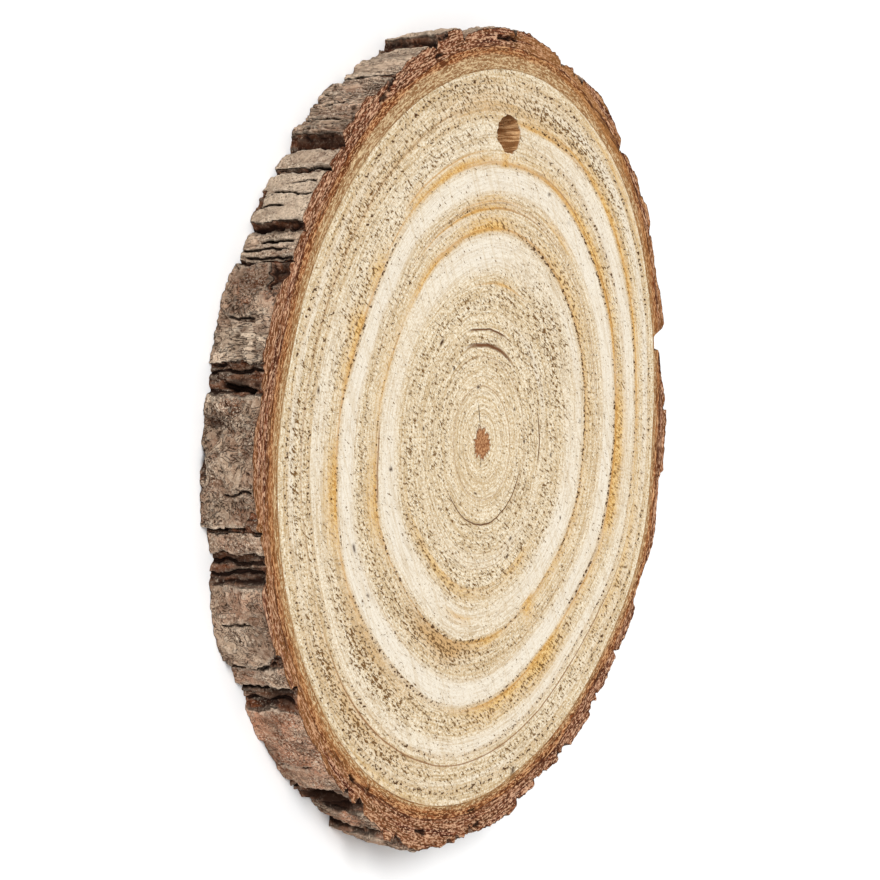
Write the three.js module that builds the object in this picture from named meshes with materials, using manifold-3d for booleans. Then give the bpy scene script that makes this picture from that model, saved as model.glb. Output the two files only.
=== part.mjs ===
// A slice sawn across a trunk or thick branch, lying on its back face.
// Millimetres, +Z up. The origin is the pith on the back face, and the front face is at +Z.
// Angles are in degrees, counter-clockwise from +X as seen from the front face.

import * as THREE from 'three';
import { mergeVertices } from 'three/addons/utils/BufferGeometryUtils.js';
import Module from 'manifold-3d';

// Slice.
const THICKNESS = 9;

// Outline of the wood, measured from the pith: nearly round, a little oval, off centre,
// with one flat spot and one swelling.
const WOOD_RADIUS = 54.9;
const OVAL = { amount: 4.3, angle: 36.5 };
const OFF_CENTRE = { amount: 1.7, angle: 96 };
const FLAT_SPOT = { amount: -1.6, angle: 8, width: 16 };
const SWELLING = { amount: 0.6, angle: 340, width: 14 };

// Bark plates in order round the rim. Each runs from one angle to the next, and its rise is how
// far it stands off the wood at its start, middle and end. Its chip is how far the outer
// scale is broken back at the front face.
const PLATES = [
  { from: -5, to: 5, rise: [3.8, 4.2, 4.8], chip: 0.3 },
  { from: 5.5, to: 14.5, rise: [4.0, 3.0, 2.2], chip: 0.3 },
  { from: 17.5, to: 31, rise: [4.5, 3.5, 3.7], chip: 0.4 },
  { from: 32, to: 46, rise: [4.3, 4.6, 3.1], chip: 0.3 },
  { from: 46.5, to: 66, rise: [4.4, 5.6, 4.5], chip: 0.4 },
  { from: 67, to: 80, rise: [4.8, 5.6, 6.2], chip: 0.3 },
  { from: 80.8, to: 95, rise: [6.0, 5.6, 5.2], chip: 0.3 },
  { from: 95.5, to: 101, rise: [6.4, 6.2, 6.0], chip: 0.6 },
  { from: 105.5, to: 115, rise: [5.6, 5.9, 5.5], chip: 0.5 },
  { from: 115.6, to: 131, rise: [5.8, 6.6, 6.0], chip: 1.1 },
  { from: 134.5, to: 138.2, rise: [5.8, 6.0, 5.6], chip: 0.5 },
  { from: 139, to: 148.4, rise: [6.0, 6.2, 5.8], chip: 0.5 },
  { from: 149.8, to: 154.4, rise: [4.6, 4.8, 4.6], chip: 0.4 },
  { from: 155, to: 169.4, rise: [5.6, 6.4, 6.0], chip: 1.2 },
  { from: 173.6, to: 190.4, rise: [5.6, 6.3, 5.6], chip: 0.6 },
  { from: 191, to: 194, rise: [4.8, 4.7, 4.4], chip: 0.5 },
  { from: 197.6, to: 208.4, rise: [5.8, 6.3, 5.6], chip: 0.9 },
  { from: 209, to: 212, rise: [4.8, 4.7, 4.4], chip: 0.4 },
  { from: 215.6, to: 230.6, rise: [4.9, 5.2, 5.2], chip: 0.4 },
  { from: 236, to: 242, rise: [4.8, 5.2, 5.0], chip: 0.5 },
  { from: 242.6, to: 265.6, rise: [6.4, 6.0, 5.6], chip: 0.7 },
  { from: 266, to: 281, rise: [4.6, 4.9, 4.7], chip: 0.4 },
  { from: 281.8, to: 287, rise: [4.2, 4.3, 4.0], chip: 0.3 },
  { from: 290.8, to: 308.6, rise: [3.9, 4.5, 4.8], chip: 0.4 },
  { from: 313, to: 322, rise: [4.0, 3.8, 3.6], chip: 0.3 },
  { from: 322.8, to: 331.8, rise: [3.6, 3.7, 3.9], chip: 0.3 },
  { from: 339.6, to: 353.5, rise: [3.1, 3.5, 2.9], chip: 0.3 },
];
const GROOVE_DEPTH = 1.15;
const NOTCH = { from: 14.6, to: 17.2, rise: 0.2 };
const SPLIT = { from: 332, to: 339, rise: 2.4 };

// Height bands of the rim. The plates swell between the faces and draw in towards the back.
const RIM_LEVELS = [0, 0.11, 0.36, 0.64, 0.89, 1].map((share) => share * THICKNESS);
const BACK_DRAW_IN = 0.5;
const SWELL = 0.25;
const RIM_STEPS = 480;

// Drilled hanging hole, from face to face.
const HOLE_RADIUS_X = 3.45;
const HOLE_RADIUS_Y = 2.75;
const HOLE_X = 8.3;
const HOLE_Y = 46;
const HOLE_OVERRUN = 1;
const HOLE_STEPS = 28;

const BARK_COLOUR = 0x8a6a52;
const BARK_ROUGHNESS = 0.9;

const DEGREE = Math.PI / 180;

// A smooth rise of one at an angle, falling away over a width in degrees.
function bump(angle, { amount, angle: centre, width }) {
  const turned = ((angle - centre + 540) % 360) - 180;
  return amount * Math.exp(-((turned / width) ** 2));
}

// Distance from the pith to the outside of the wood.
function woodRadius(angle) {
  const oval = OVAL.amount * Math.cos(2 * (angle - OVAL.angle) * DEGREE);
  const offCentre = OFF_CENTRE.amount * Math.cos((angle - OFF_CENTRE.angle) * DEGREE);
  return WOOD_RADIUS + oval + offCentre + bump(angle, FLAT_SPOT) + bump(angle, SWELLING);
}

// The angle brought to -5..355, where the first plate starts.
function toSpanAngle(angle) {
  return ((angle + 5) % 360 + 360) % 360 - 5;
}

// The item of a list whose span holds the angle.
function spanAt(list, angle) {
  const turned = toSpanAngle(angle);
  const item = list.find(({ from, to }) => turned >= from && turned <= to);
  return item && { ...item, share: (turned - item.from) / (item.to - item.from) };
}

// A curve through three heights at the start, middle and end of a span.
function throughThree([start, middle, end], share) {
  const bulge = 2 * middle - (start + end) / 2;
  const left = (1 - share) ** 2 * start;
  const right = share ** 2 * end;
  return left + 2 * share * (1 - share) * bulge + right;
}

// The rise in a groove: the ends of the plates beside it joined straight across, less its depth.
function grooveRise(angle) {
  const turned = toSpanAngle(angle);
  const found = PLATES.findIndex(({ from }) => from > turned);
  const after = PLATES[Math.max(found, 0)];
  const before = found < 0 ? PLATES[PLATES.length - 1] : PLATES[found - 1];
  const gap = (after.from - before.to + 360) % 360;
  const share = (turned - before.to) / gap;
  const start = before.rise[2];
  const end = after.rise[0];
  return start + share * (end - start) - GROOVE_DEPTH;
}

// How far the bark stands off the wood at an angle and a height.
function barkRise(angle, height) {
  const gap = spanAt([NOTCH, SPLIT], angle);
  if (gap) return gap.rise;
  const plate = spanAt(PLATES, angle);
  if (!plate) return grooveRise(angle);
  const level = height / THICKNESS;
  const swell = SWELL * Math.sin(Math.PI * level);
  const chip = height === THICKNESS ? plate.chip : 0;
  return throughThree(plate.rise, plate.share) + swell - chip - BACK_DRAW_IN * (1 - level);
}

function rimPoint(step, height) {
  const angle = (360 * step) / RIM_STEPS;
  const radius = woodRadius(angle) + barkRise(angle, height);
  const x = radius * Math.cos(angle * DEGREE);
  const y = radius * Math.sin(angle * DEGREE);
  return [x, y, height];
}

// The whole slice without its hole: rings of points up the rim, closed by a fan on each face.
function makeSliceBody() {
  const positions = [0, 0, 0, 0, 0, THICKNESS];
  for (const height of RIM_LEVELS) {
    for (let step = 0; step < RIM_STEPS; step += 1) positions.push(...rimPoint(step, height));
  }
  const back = 0;
  const front = 1;
  const top = RIM_LEVELS.length - 1;
  const at = (level, step) => 2 + level * RIM_STEPS + (step % RIM_STEPS);
  const triangles = [];
  for (let step = 0; step < RIM_STEPS; step += 1) {
    triangles.push(back, at(0, step + 1), at(0, step));
    triangles.push(front, at(top, step), at(top, step + 1));
    for (let level = 0; level < top; level += 1) {
      triangles.push(at(level, step), at(level, step + 1), at(level + 1, step + 1));
      triangles.push(at(level, step), at(level + 1, step + 1), at(level + 1, step));
    }
  }
  const body = new THREE.BufferGeometry();
  body.setAttribute('position', new THREE.Float32BufferAttribute(positions, 3));
  body.setIndex(triangles);
  return body;
}

// The oval plug that is cut away for the hanging hole.
function makeHolePlug() {
  const oval = new THREE.Shape();
  oval.absellipse(HOLE_X, HOLE_Y, HOLE_RADIUS_X, HOLE_RADIUS_Y, 0, 2 * Math.PI);
  const depth = THICKNESS + 2 * HOLE_OVERRUN;
  const plug = new THREE.ExtrudeGeometry(oval, {
    depth,
    bevelEnabled: false,
    curveSegments: HOLE_STEPS,
  });
  return plug.translate(0, 0, -HOLE_OVERRUN);
}

function toSolid(wasm, geometry) {
  geometry.deleteAttribute('normal');
  geometry.deleteAttribute('uv');
  const merged = mergeVertices(geometry);
  const mesh = new wasm.Mesh({
    numProp: 3,
    vertProperties: new Float32Array(merged.attributes.position.array),
    triVerts: new Uint32Array(merged.index.array),
  });
  mesh.merge();
  return new wasm.Manifold(mesh);
}

function toGeometry(solid) {
  const mesh = solid.getMesh();
  const geometry = new THREE.BufferGeometry();
  geometry.setAttribute('position', new THREE.BufferAttribute(mesh.vertProperties, 3));
  geometry.setIndex(new THREE.BufferAttribute(mesh.triVerts, 1));
  geometry.computeVertexNormals();
  return geometry;
}

function makeWoodSlice(wasm) {
  const body = toSolid(wasm, makeSliceBody());
  const slice = body.subtract(toSolid(wasm, makeHolePlug()));
  const material = new THREE.MeshStandardMaterial({
    color: BARK_COLOUR,
    roughness: BARK_ROUGHNESS,
    metalness: 0,
  });
  const mesh = new THREE.Mesh(toGeometry(slice), material);
  mesh.name = 'wood_slice';
  return mesh;
}

const wasm = await Module();
wasm.setup();

const part = new THREE.Group();
part.add(makeWoodSlice(wasm));

export default part;
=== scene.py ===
"""A slice sawn across a pine trunk: the cut wood with its rings, and the flaky bark round its rim.

Shapes are worked out in millimetres in the frame of the CAD part, and turned into metres when a mesh
is made. The pith is the origin, the back face lies at height 0 and +Z points out of the front face.
Angles run counter-clockwise from +X, in degrees.
"""

import math

import bpy
import numpy as np
from mathutils import Matrix, Vector


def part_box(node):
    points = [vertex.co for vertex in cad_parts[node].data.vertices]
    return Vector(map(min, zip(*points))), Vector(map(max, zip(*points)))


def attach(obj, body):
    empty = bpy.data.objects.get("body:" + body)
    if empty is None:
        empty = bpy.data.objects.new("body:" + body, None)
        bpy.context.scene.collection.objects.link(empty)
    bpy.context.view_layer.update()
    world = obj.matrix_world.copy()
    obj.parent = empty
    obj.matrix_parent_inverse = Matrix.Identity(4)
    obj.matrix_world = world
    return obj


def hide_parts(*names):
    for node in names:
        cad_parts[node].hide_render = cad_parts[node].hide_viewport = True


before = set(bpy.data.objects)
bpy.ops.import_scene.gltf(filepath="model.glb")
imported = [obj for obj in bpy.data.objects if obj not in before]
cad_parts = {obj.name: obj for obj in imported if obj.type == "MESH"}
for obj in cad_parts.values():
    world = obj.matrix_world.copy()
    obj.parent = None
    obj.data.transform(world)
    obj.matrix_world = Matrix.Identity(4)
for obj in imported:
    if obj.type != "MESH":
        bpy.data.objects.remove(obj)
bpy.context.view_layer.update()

SLICE = "wood_slice"
METRE = 0.001
SLICE_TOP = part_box(SLICE)[1].z / METRE

# ---------------------------------------------------------------- outline of the wood and the bark

WOOD_RADIUS = 54.9
OVAL = (4.3, 36.5)
OFF_CENTRE = (1.7, 96)
# Local swellings and flat spots of the whole slice: angle, width in degrees, amount.
OUTLINE_BUMPS = [(8, 16, -1.6), (340, 14, 0.6)]
# The rings are round up to this share of the radius, and take on the slice's outline beyond it.
ROUND_CORE = 0.1
# How often the sum that finds a point's ring is repeated, until it settles.
RING_PASSES = 12
# Where the bark is thicker at the cost of the wood: angle, width in degrees, amount.
BARK_INROADS = [(96, 26, 0.55), (24, 8, 0.35), (166, 8, 0.4), (283, 7, 0.4), (358, 7, 0.4), (44, 9, -0.4)]

# Bark plates in order round the rim: start and end angle, rise off the wood at the start, middle
# and end, then how pale and how red the outer skin is, and how flaky.
PLATES = [
    (-5, 5, (3.8, 4.2, 4.8), 0.5, 0.5, 0.5),
    (5.5, 14.5, (4.0, 3.0, 2.2), 0.5, 0.6, 0.6),
    (17.5, 31, (4.5, 3.5, 3.7), 0.5, 0.5, 0.5),
    (32, 46, (4.3, 4.6, 3.1), 0.6, 0.4, 0.7),
    (46.5, 66, (4.4, 5.6, 4.5), 0.5, 0.5, 0.5),
    (67, 80, (4.8, 5.6, 6.2), 0.6, 0.4, 0.6),
    (80.8, 95, (6.0, 5.6, 5.2), 0.7, 0.3, 0.5),
    (95.3, 102.2, (6.2, 6.6, 7.0), 0.95, 0.2, 0.3),
    (103.8, 115, (5.5, 5.9, 5.6), 0.95, 0.25, 0.5),
    (115.6, 131.9, (5.8, 6.6, 6.9), 0.85, 0.45, 1.0),
    (133.7, 138.2, (5.4, 5.8, 5.9), 0.85, 0.15, 0.15),
    (138.9, 148.4, (5.8, 6.2, 6.1), 0.95, 0.1, 0.2),
    (149.2, 154.4, (5.0, 5.2, 5.2), 0.75, 0.3, 0.5),
    (155, 169.4, (6.0, 6.4, 6.5), 0.7, 0.4, 0.9),
    (173.6, 190.4, (5.9, 6.3, 5.9), 0.22, 0.25, 0.8),
    (191, 194, (4.8, 4.7, 4.4), 0.35, 0.5, 0.5),
    (197.6, 208.4, (5.8, 6.3, 5.8), 0.45, 0.35, 0.7),
    (209, 212, (4.8, 4.7, 4.4), 0.4, 0.6, 0.5),
    (215.6, 230.6, (4.9, 5.0, 5.3), 0.65, 1.0, 0.4),
    (236.4, 242, (5.4, 5.7, 5.8), 0.6, 0.8, 0.8),
    (242.6, 265.6, (6.9, 6.3, 5.4), 0.6, 0.7, 0.8),
    (266, 281, (4.6, 4.9, 4.7), 0.5, 0.5, 0.6),
    (281.8, 287, (4.2, 4.3, 4.0), 0.5, 0.5, 0.5),
    (290.8, 308.6, (3.9, 4.5, 4.8), 0.45, 0.5, 0.6),
    (313, 322, (4.0, 3.8, 3.6), 0.5, 0.5, 0.5),
    (322.8, 331.8, (3.6, 3.7, 3.9), 0.6, 0.5, 0.5),
    (339.6, 353.5, (3.1, 3.5, 2.9), 0.5, 0.6, 0.6),
]
GROOVE_DEPTH = 1.15
# How much of a groove's depth is left at the front face, and how far below the face it starts to rise.
GROOVE_AT_FACE = 0.6
GROOVE_RISE_REACH = 1.6
# How many torn layers a groove has for one unit of its noise, and how high each is.
GROOVE_LAYERS = 2.8
LAYER_HEIGHT = 0.17
# How far a plate's outline runs past the faces, and how round its corners are there.
PLATE_OVERRUN = 1.0
PLATE_CORNER = 1.4
# Cells of the pattern that the scales are cut from, large and small: mm round and mm up.
ROUND_SCALES = ((3.6, 4.0), (0.8, 1.0))
LONG_SCALES = ((2.4, 8.0), (0.9, 1.6))
# Bark as pale and as flaky as this has its scales drawn out along the trunk.
WRINKLED_PALE = 0.75
WRINKLED_FLAKY = 0.4
FLAKE_RELIEF = 0.8
# Where the skin's finer pattern, from 0 to 1, is cut into scales, and how wide each shaded foot is.
SCALE_LEVELS = (0.38, 0.46, 0.54, 0.62)
SCALE_FOOT = 0.032
# How far the top of a plate leans over the groove beside it.
OVERHANG = 0.35
# How far the edges of plates and cracks wander.
EDGE_WANDER = 0.40
THINNEST_BARK = 0.15
# How far a point lies below or above its surroundings to get the full painted shade of a crevice or a
# hollow, or the full painted highlight of a ridge.
CREVICE_DEPTH = 0.20
HOLLOW_DEPTH = 0.9
RIDGE_HEIGHT = 0.16
# Gaps in the bark: start angle, end angle and how much bark is left.
BARK_GAPS = [(14.6, 17.2, 0.2), (332, 339, 2.4)]
# How far the plates draw in at the back face, and how far they swell between the faces.
BACK_DRAW_IN = 0.5
PLATE_SWELL = 0.25
# Where the bark slopes in further towards the back: angle, width in degrees, amount.
BACK_SLOPES = [(243, 10, 1.1)]
# The radius at which lengths round the rim are measured.
RIM_RADIUS = 60.0
DEGREES_PER_MM = 180 / (math.pi * RIM_RADIUS)
# What the cut ends of the bark look like, where a row of points doesn't say otherwise.
CUT_LOOKS = {
    "skin": 0.0, "light": 0.4, "red": 0.8, "flaky": 0.5, "scale": 0.5, "dark": 0.0,
    "crack": 0.0, "crevice": 0.0, "deep": 0.0, "ridge": 0.0, "cut": 1.0,
}
# Where the outer skin has broken away: angle, height, half length round, half length up.
SKIN_BITES = [
    (101.0, 9.0, 1.4, 1.3),
    (117.0, 9.4, 2.0, 0.5),
    (156.3, 8.4, 2.3, 1.9),
    (189.8, 8.6, 1.5, 1.5),
    (207.8, 8.8, 1.2, 1.0),
    (247.0, 9.0, 2.4, 1.0),
    (262.0, 9.1, 2.6, 0.9),
    (298.0, 9.0, 2.2, 0.8),
    (350.0, 0.2, 2.4, 0.9),
    (24.0, 0.0, 2.4, 1.1),
    (62.0, 9.1, 2.0, 0.8),
    (90.0, 0.1, 2.2, 1.0),
    (145.0, 0.1, 2.0, 0.8),
    (183.0, 0.0, 2.4, 1.0),
]
# Patches of the skin that are paler or redder: angle, height, reach round and up, paler, redder.
SKIN_TINTS = [
    (157.5, 5.5, 3.6, 5.0, -1.00, 0.2),
    (161.0, 3.0, 2.0, 2.2, -0.8, 0.2),
    (166.5, 4.5, 3.4, 5.0, 0.8, -0.35),
    (175.0, 7.0, 2.0, 2.6, -0.35, 0.25),
    (176.5, 2.5, 2.6, 2.0, -0.45, 0.15),
    (199.5, 6.0, 2.0, 4.0, 0.15, 0.3),
    (204.0, 5.0, 3.0, 4.0, 0.00, -0.15),
    (224.0, 4.0, 5.0, 5.0, 0.1, 0.1),
    (239.0, 4.0, 3.0, 4.0, -0.2, 0.2),
    (310.0, 4.0, 6.0, 4.0, -0.2, 0.2),
    (20.0, 4.0, 5.0, 4.0, -0.25, 0.2),
    (70.0, 4.0, 6.0, 4.0, -0.2, 0.25),
]

# Patches of the rim that are nearly black, partly dark bark and partly painted shadow in the gaps under
# overhanging plates: angle, height, reach round and up, strength.
DARK_AND_SHADOW_PATCHES = [
    (102.8, 4.5, 0.9, 6.0, 0.55),
    (132.6, 4.5, 1.0, 7.0, 0.8),
    (148.9, 5.0, 0.8, 6.0, 0.6),
    (156.4, 8.4, 2.0, 1.8, 0.7),
    (157.5, 4.5, 2.6, 4.6, 0.38),
    (161.2, 2.6, 1.6, 1.8, 0.35),
    (170.0, 4.5, 0.7, 6.0, 0.3),
    (172.6, 5.5, 0.9, 3.4, 0.75),
    (177.0, 2.2, 1.7, 1.6, 0.55),
    (194.8, 4.5, 0.7, 6.0, 0.6),
    (196.6, 5.0, 0.8, 6.0, 0.6),
    (214.6, 6.0, 1.3, 3.0, 0.75),
    (234.4, 5.0, 2.6, 5.0, 0.95),
    (245.0, 7.4, 2.4, 1.0, 0.6),
    (252.0, 6.6, 5.0, 1.6, 0.45),
    (288.6, 4.5, 1.6, 6.0, 0.45),
    (310.6, 4.5, 1.6, 6.0, 0.45),
]

# Cracks along the grain in the outer skin: angle, lowest and highest height, depth, width, slant.
RIM_CRACKS = [
    (110.4, 2.0, 9.0, 0.5, 0.35, 0.6),
    (115.3, 0.0, 9.0, 1.0, 0.45, 0.2),
    (121.7, 0.5, 5.5, 0.8, 0.4, 0.3),
    (125.0, 3.0, 8.0, 0.5, 0.35, -0.5),
    (128.0, 0.0, 6.5, 0.9, 0.4, 0.4),
    (138.6, 0.0, 9.0, 1.8, 0.6, -0.8),
    (140.9, 4.5, 8.2, 0.6, 0.35, 0.3),
    (143.3, 2.2, 8.6, 0.9, 0.4, 0.4),
    (145.6, 0.6, 5.0, 0.6, 0.35, -0.6),
    (151.0, 2.5, 8.0, 1.1, 0.5, 0.0),
    (152.4, 0.0, 7.5, 0.7, 0.4, 0.1),
    (153.6, 1.0, 9.0, 0.7, 0.4, 0.1),
    (163.5, 2.0, 6.0, 0.4, 0.35, 0.9),
    (170.6, 0.0, 9.0, 0.6, 0.4, 0.1),
    (172.9, 2.2, 7.6, 2.0, 0.75, 0.2),
    (186.5, 4.0, 8.5, 0.5, 0.35, -1.2),
    (195.3, 0.0, 9.0, 0.6, 0.4, 0.2),
    (196.6, 0.0, 8.6, 0.8, 0.45, 0.1),
    (202.5, 1.5, 6.2, 0.5, 0.35, 0.7),
    (213.2, 0.0, 9.0, 0.6, 0.4, 0.1),
    (215.0, 0.0, 8.5, 0.6, 0.45, 0.1),
    (225.6, 1.0, 6.5, 0.8, 0.4, -0.4),
    (231.5, 0.0, 9.0, 0.8, 0.5, 0.2),
    (234.2, 2.0, 8.4, 2.2, 2.2, 0.3),
    (242.3, 0.0, 9.0, 1.0, 0.45, 0.3),
    (250.5, 1.0, 8.0, 1.2, 0.6, 1.0),
    (257.0, 0.5, 8.0, 0.7, 0.4, 0.5),
]
# The inner bark next to the wood, by angle: how wide it is, how pale, and how golden the rest is.
INNER_BARK = [
    (0, 0.9, 0.3, 0.3),
    (25, 0.9, 0.1, 0.6),
    (50, 1.5, 0.2, 1.0),
    (70, 1.9, 0.6, 0.8),
    (90, 2.2, 0.8, 0.2),
    (120, 2.4, 0.9, 0.1),
    (135, 2.2, 0.8, 0.1),
    (150, 1.7, 0.5, 0.2),
    (165, 1.4, 0.3, 0.3),
    (200, 1.4, 0.2, 0.5),
    (225, 1.3, 0.1, 0.6),
    (242, 0.6, 0.1, 0.3),
    (270, 0.6, 0.2, 0.2),
    (310, 0.5, 0.2, 0.1),
    (335, 1.0, 0.3, 0.2),
]
# How far the rust-coloured bark reaches beyond that, in mm.
RUST_WIDTH = 1.3
# Pits in the cut face of the bark: angle, distance from the wood, length round, width, depth.
BARK_PITS = [
    (102.2, 4.2, 1.6, 0.5, 0.8),
    (119.5, 4.3, 2.0, 0.6, 1.2),
    (117.6, 4.6, 0.9, 0.5, 0.8),
    (82.0, 4.7, 3.6, 0.45, 1.1),
    (232.0, 2.3, 1.3, 0.5, 0.7),
    (236.6, 1.6, 0.9, 0.4, 0.5),
    (252.5, 4.0, 2.4, 0.45, 0.8),
    (267.0, 1.6, 1.6, 0.35, 0.5),
    (268.6, 3.9, 1.6, 0.4, 0.7),
    (280.7, -0.3, 0.6, 0.45, 0.6),
    (299.0, 1.4, 1.4, 0.35, 0.5),
    (303.7, 0.8, 0.7, 0.4, 0.5),
    (168.0, 1.6, 1.1, 0.25, 0.3),
    (147.4, 1.5, 0.8, 0.3, 0.3),
]

# ------------------------------------------------------------------------- rings of the cut face

# Where the rings leave their even spacing: angle, width in degrees, ring, width, how far.
RING_DRIFTS = [
    (8, 17, 0.76, 0.2, 0.02),
    (338, 14, 0.78, 0.16, 0.016),
    (10, 60, 0.57, 0.09, 0.016),
    (42, 14, 0.92, 0.06, 0.012),
    (152, 22, 0.66, 0.17, -0.034),
    (75, 12, 0.89, 0.08, -0.013),
    (200, 12, 0.89, 0.08, -0.016),
    (182, 12, 0.62, 0.18, -0.018),
    (228, 24, 0.44, 0.1, -0.02),
    (228, 24, 0.65, 0.18, -0.026),
]
# Golden stains: the ring where one starts, how far out it fades, angle, width in degrees, strength.
STAINS = [
    (0.873, 0.022, 32, 34, 0.75),
    (0.862, 0.014, 70, 9, 0.9),
    (0.978, 0.02, 44, 12, 0.45),
    (0.745, 0.046, 0, 12, 1.00),
    (0.743, 0.026, 38, 26, 0.9),
    (0.742, 0.016, 72, 14, 0.45),
    (0.738, 0.04, 80.5, 1.6, 0.85),
    (0.748, 0.02, 104, 18, 0.65),
    (0.752, 0.034, 118, 4, 0.55),
    (0.746, 0.044, 141, 5, 0.5),
    (0.742, 0.05, 155, 4, 0.8),
    (0.74, 0.034, 162, 9, 0.6),
    (0.744, 0.042, 190, 9, 0.8),
    (0.742, 0.014, 208, 12, 0.4),
    (0.744, 0.05, 280, 18, 0.65),
    (0.742, 0.06, 299, 12, 0.95),
    (0.752, 0.026, 328, 18, 0.45),
    (0.752, 0.044, 347, 8, 0.85),
    (0.56, 0.03, 12, 18, 0.4),
    (0.56, 0.034, 40, 18, 0.6),
    (0.562, 0.034, 88, 14, 0.95),
    (0.553, 0.02, 122, 18, 0.6),
    (0.553, 0.03, 160, 22, 0.3),
    (0.556, 0.04, 194, 12, 0.65),
    (0.556, 0.022, 272, 12, 0.75),
    (0.545, 0.06, 299.5, 4, 0.75),
    (0.556, 0.036, 330, 34, 0.35),
    (0.62, 0.014, 92, 15, 0.75),
    (0.64, 0.018, 87, 7, 0.45),
    (0.646, 0.018, 53, 7, 0.4),
    (0.424, 0.008, 74, 8, 0.45),
    (0.41, 0.028, 236, 30, 0.5),
    (0.398, 0.03, 300, 13, 0.45),
    (0.488, 0.014, 255, 8, 0.35),
    (0.9, 0.04, 336, 20, 0.4),
    (0.985, 0.012, 238, 10, 0.35),
]
# Brown, dirty stains, in the same form.
BROWN_STAINS = [
    (0.566, 0.05, 247, 15, 0.95),
    (0.745, 0.05, 222, 20, 0.3),
    (0.885, 0.06, 88, 18, 0.4),
    (0.89, 0.06, 226, 20, 0.4),
    (0.89, 0.06, 130, 24, 0.22),
]
# Torn, speckled grain: ring, width, angle, width in degrees, strength. A width of 400 is all round.
TORN_GRAIN = [
    (0.985, 0.016, 110, 50, 0.4),
    (0.985, 0.016, 250, 70, 0.35),
    (0.915, 0.03, 62, 26, 1.00),
    (0.935, 0.04, 92, 18, 0.7),
    (0.91, 0.036, 132, 34, 0.72),
    (0.925, 0.022, 182, 26, 0.7),
    (0.925, 0.032, 226, 26, 1.00),
    (0.925, 0.024, 300, 70, 0.6),
    (0.88, 0.014, 195, 50, 0.5),
    (0.825, 0.035, 110, 26, 0.6),
    (0.815, 0.034, 138, 26, 0.6),
    (0.8, 0.032, 224, 22, 1.00),
    (0.775, 0.03, 252, 40, 0.6),
    (0.785, 0.026, 300, 28, 0.75),
    (0.775, 0.022, 10, 60, 0.45),
    (0.785, 0.034, 150, 30, 0.65),
    (0.63, 0.032, 200, 100, 0.48),
    (0.61, 0.034, 226, 26, 0.7),
    (0.59, 0.034, 252, 26, 0.8),
    (0.58, 0.03, 40, 60, 0.5),
    (0.48, 0.035, 40, 22, 0.62),
    (0.43, 0.04, 36, 34, 0.85),
    (0.38, 0.05, 0, 400, 0.52),
    (0.43, 0.03, 225, 40, 0.62),
    (0.44, 0.03, 320, 40, 0.48),
    (0.33, 0.06, 40, 50, 0.55),
    (0.26, 0.07, 0, 400, 0.42),
    (0.215, 0.04, 170, 60, 0.55),
    (0.12, 0.05, 0, 400, 0.12),
]
# Smooth, whitish early wood: ring, width, angle, width in degrees, strength.
PALE_BANDS = [
    (0.937, 0.018, 20, 50, 0.8),
    (0.945, 0.014, 165, 46, 0.65),
    (0.944, 0.01, 290, 70, 0.4),
    (0.83, 0.036, 30, 45, 1.00),
    (0.828, 0.036, 176, 30, 0.7),
    (0.848, 0.028, 290, 80, 0.9),
    (0.81, 0.04, 110, 60, 0.3),
    (0.7, 0.04, 0, 400, 1.00),
    (0.5, 0.048, 205, 70, 1.00),
    (0.502, 0.048, 325, 60, 0.95),
    (0.505, 0.052, 96, 50, 1.00),
    (0.525, 0.02, 20, 60, 0.8),
    (0.608, 0.01, 108, 14, 0.7),
    (0.348, 0.01, 34, 30, 0.6),
    (0.33, 0.02, 280, 60, 0.35),
]
# Rows of dark torn dots where one year's wood ends: ring, thickness, strength, and the angle and half
# width in degrees of the stretch that shows.
DOT_ROWS = [
    (0.964, 0.015, 0.8, 0, 180),
    (0.9, 0.01, 0.7, 150, 55),
    (0.897, 0.01, 0.75, 45, 22),
    (0.868, 0.0095, 0.8, 0, 180),
    (0.802, 0.011, 0.75, 45, 30),
    (0.806, 0.009, 0.65, 300, 26),
    (0.737, 0.01, 1.00, 5, 52),
    (0.739, 0.011, 0.45, 92, 40),
    (0.737, 0.0095, 0.85, 195, 70),
    (0.737, 0.0095, 0.75, 292, 34),
    (0.762, 0.008, 0.75, 208, 26),
    (0.664, 0.006, 0.4, 0, 180),
    (0.646, 0.006, 0.5, 20, 110),
    (0.628, 0.007, 0.6, 0, 180),
    (0.608, 0.007, 0.5, 60, 150),
    (0.59, 0.007, 0.45, 230, 60),
    (0.556, 0.01, 0.95, 10, 60),
    (0.558, 0.011, 0.4, 104, 38),
    (0.556, 0.0095, 0.8, 220, 82),
    (0.57, 0.007, 0.5, 215, 40),
    (0.43, 0.008, 0.55, 225, 60),
]
# Fine dark lines along the rings, in the same form.
RING_LINES = [
    (0.892, 0.0028, 0.85, 275, 60),
    (0.899, 0.003, 0.4, 150, 50),
    (0.634, 0.0024, 0.4, 100, 60),
    (0.5485, 0.003, 0.9, 186, 9),
    (0.348, 0.0014, 0.35, 250, 40),
    (0.33, 0.0014, 0.35, 265, 50),
    (0.302, 0.0014, 0.25, 270, 60),
    (0.233, 0.002, 0.5, 40, 90),
    (0.19, 0.0012, 0.18, 30, 120),
    (0.154, 0.0018, 0.5, 0, 180),
    (0.105, 0.0012, 0.3, 300, 120),
    (0.08, 0.001, 0.18, 80, 120),
    (0.752, 0.003, 0.6, 42, 22),
    (0.62, 0.0024, 0.45, 46, 40),
    (0.64, 0.002, 0.4, 330, 50),
]
# Cracks along the rings, in the same form.
RING_CRACKS = [
    (0.264, 0.007, 1.0, 80, 22),
    (0.306, 0.0026, 1.0, 84, 18),
    (0.222, 0.0026, 1.0, 278, 60),
    (0.32, 0.0026, 1.0, 2, 10),
]
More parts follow.
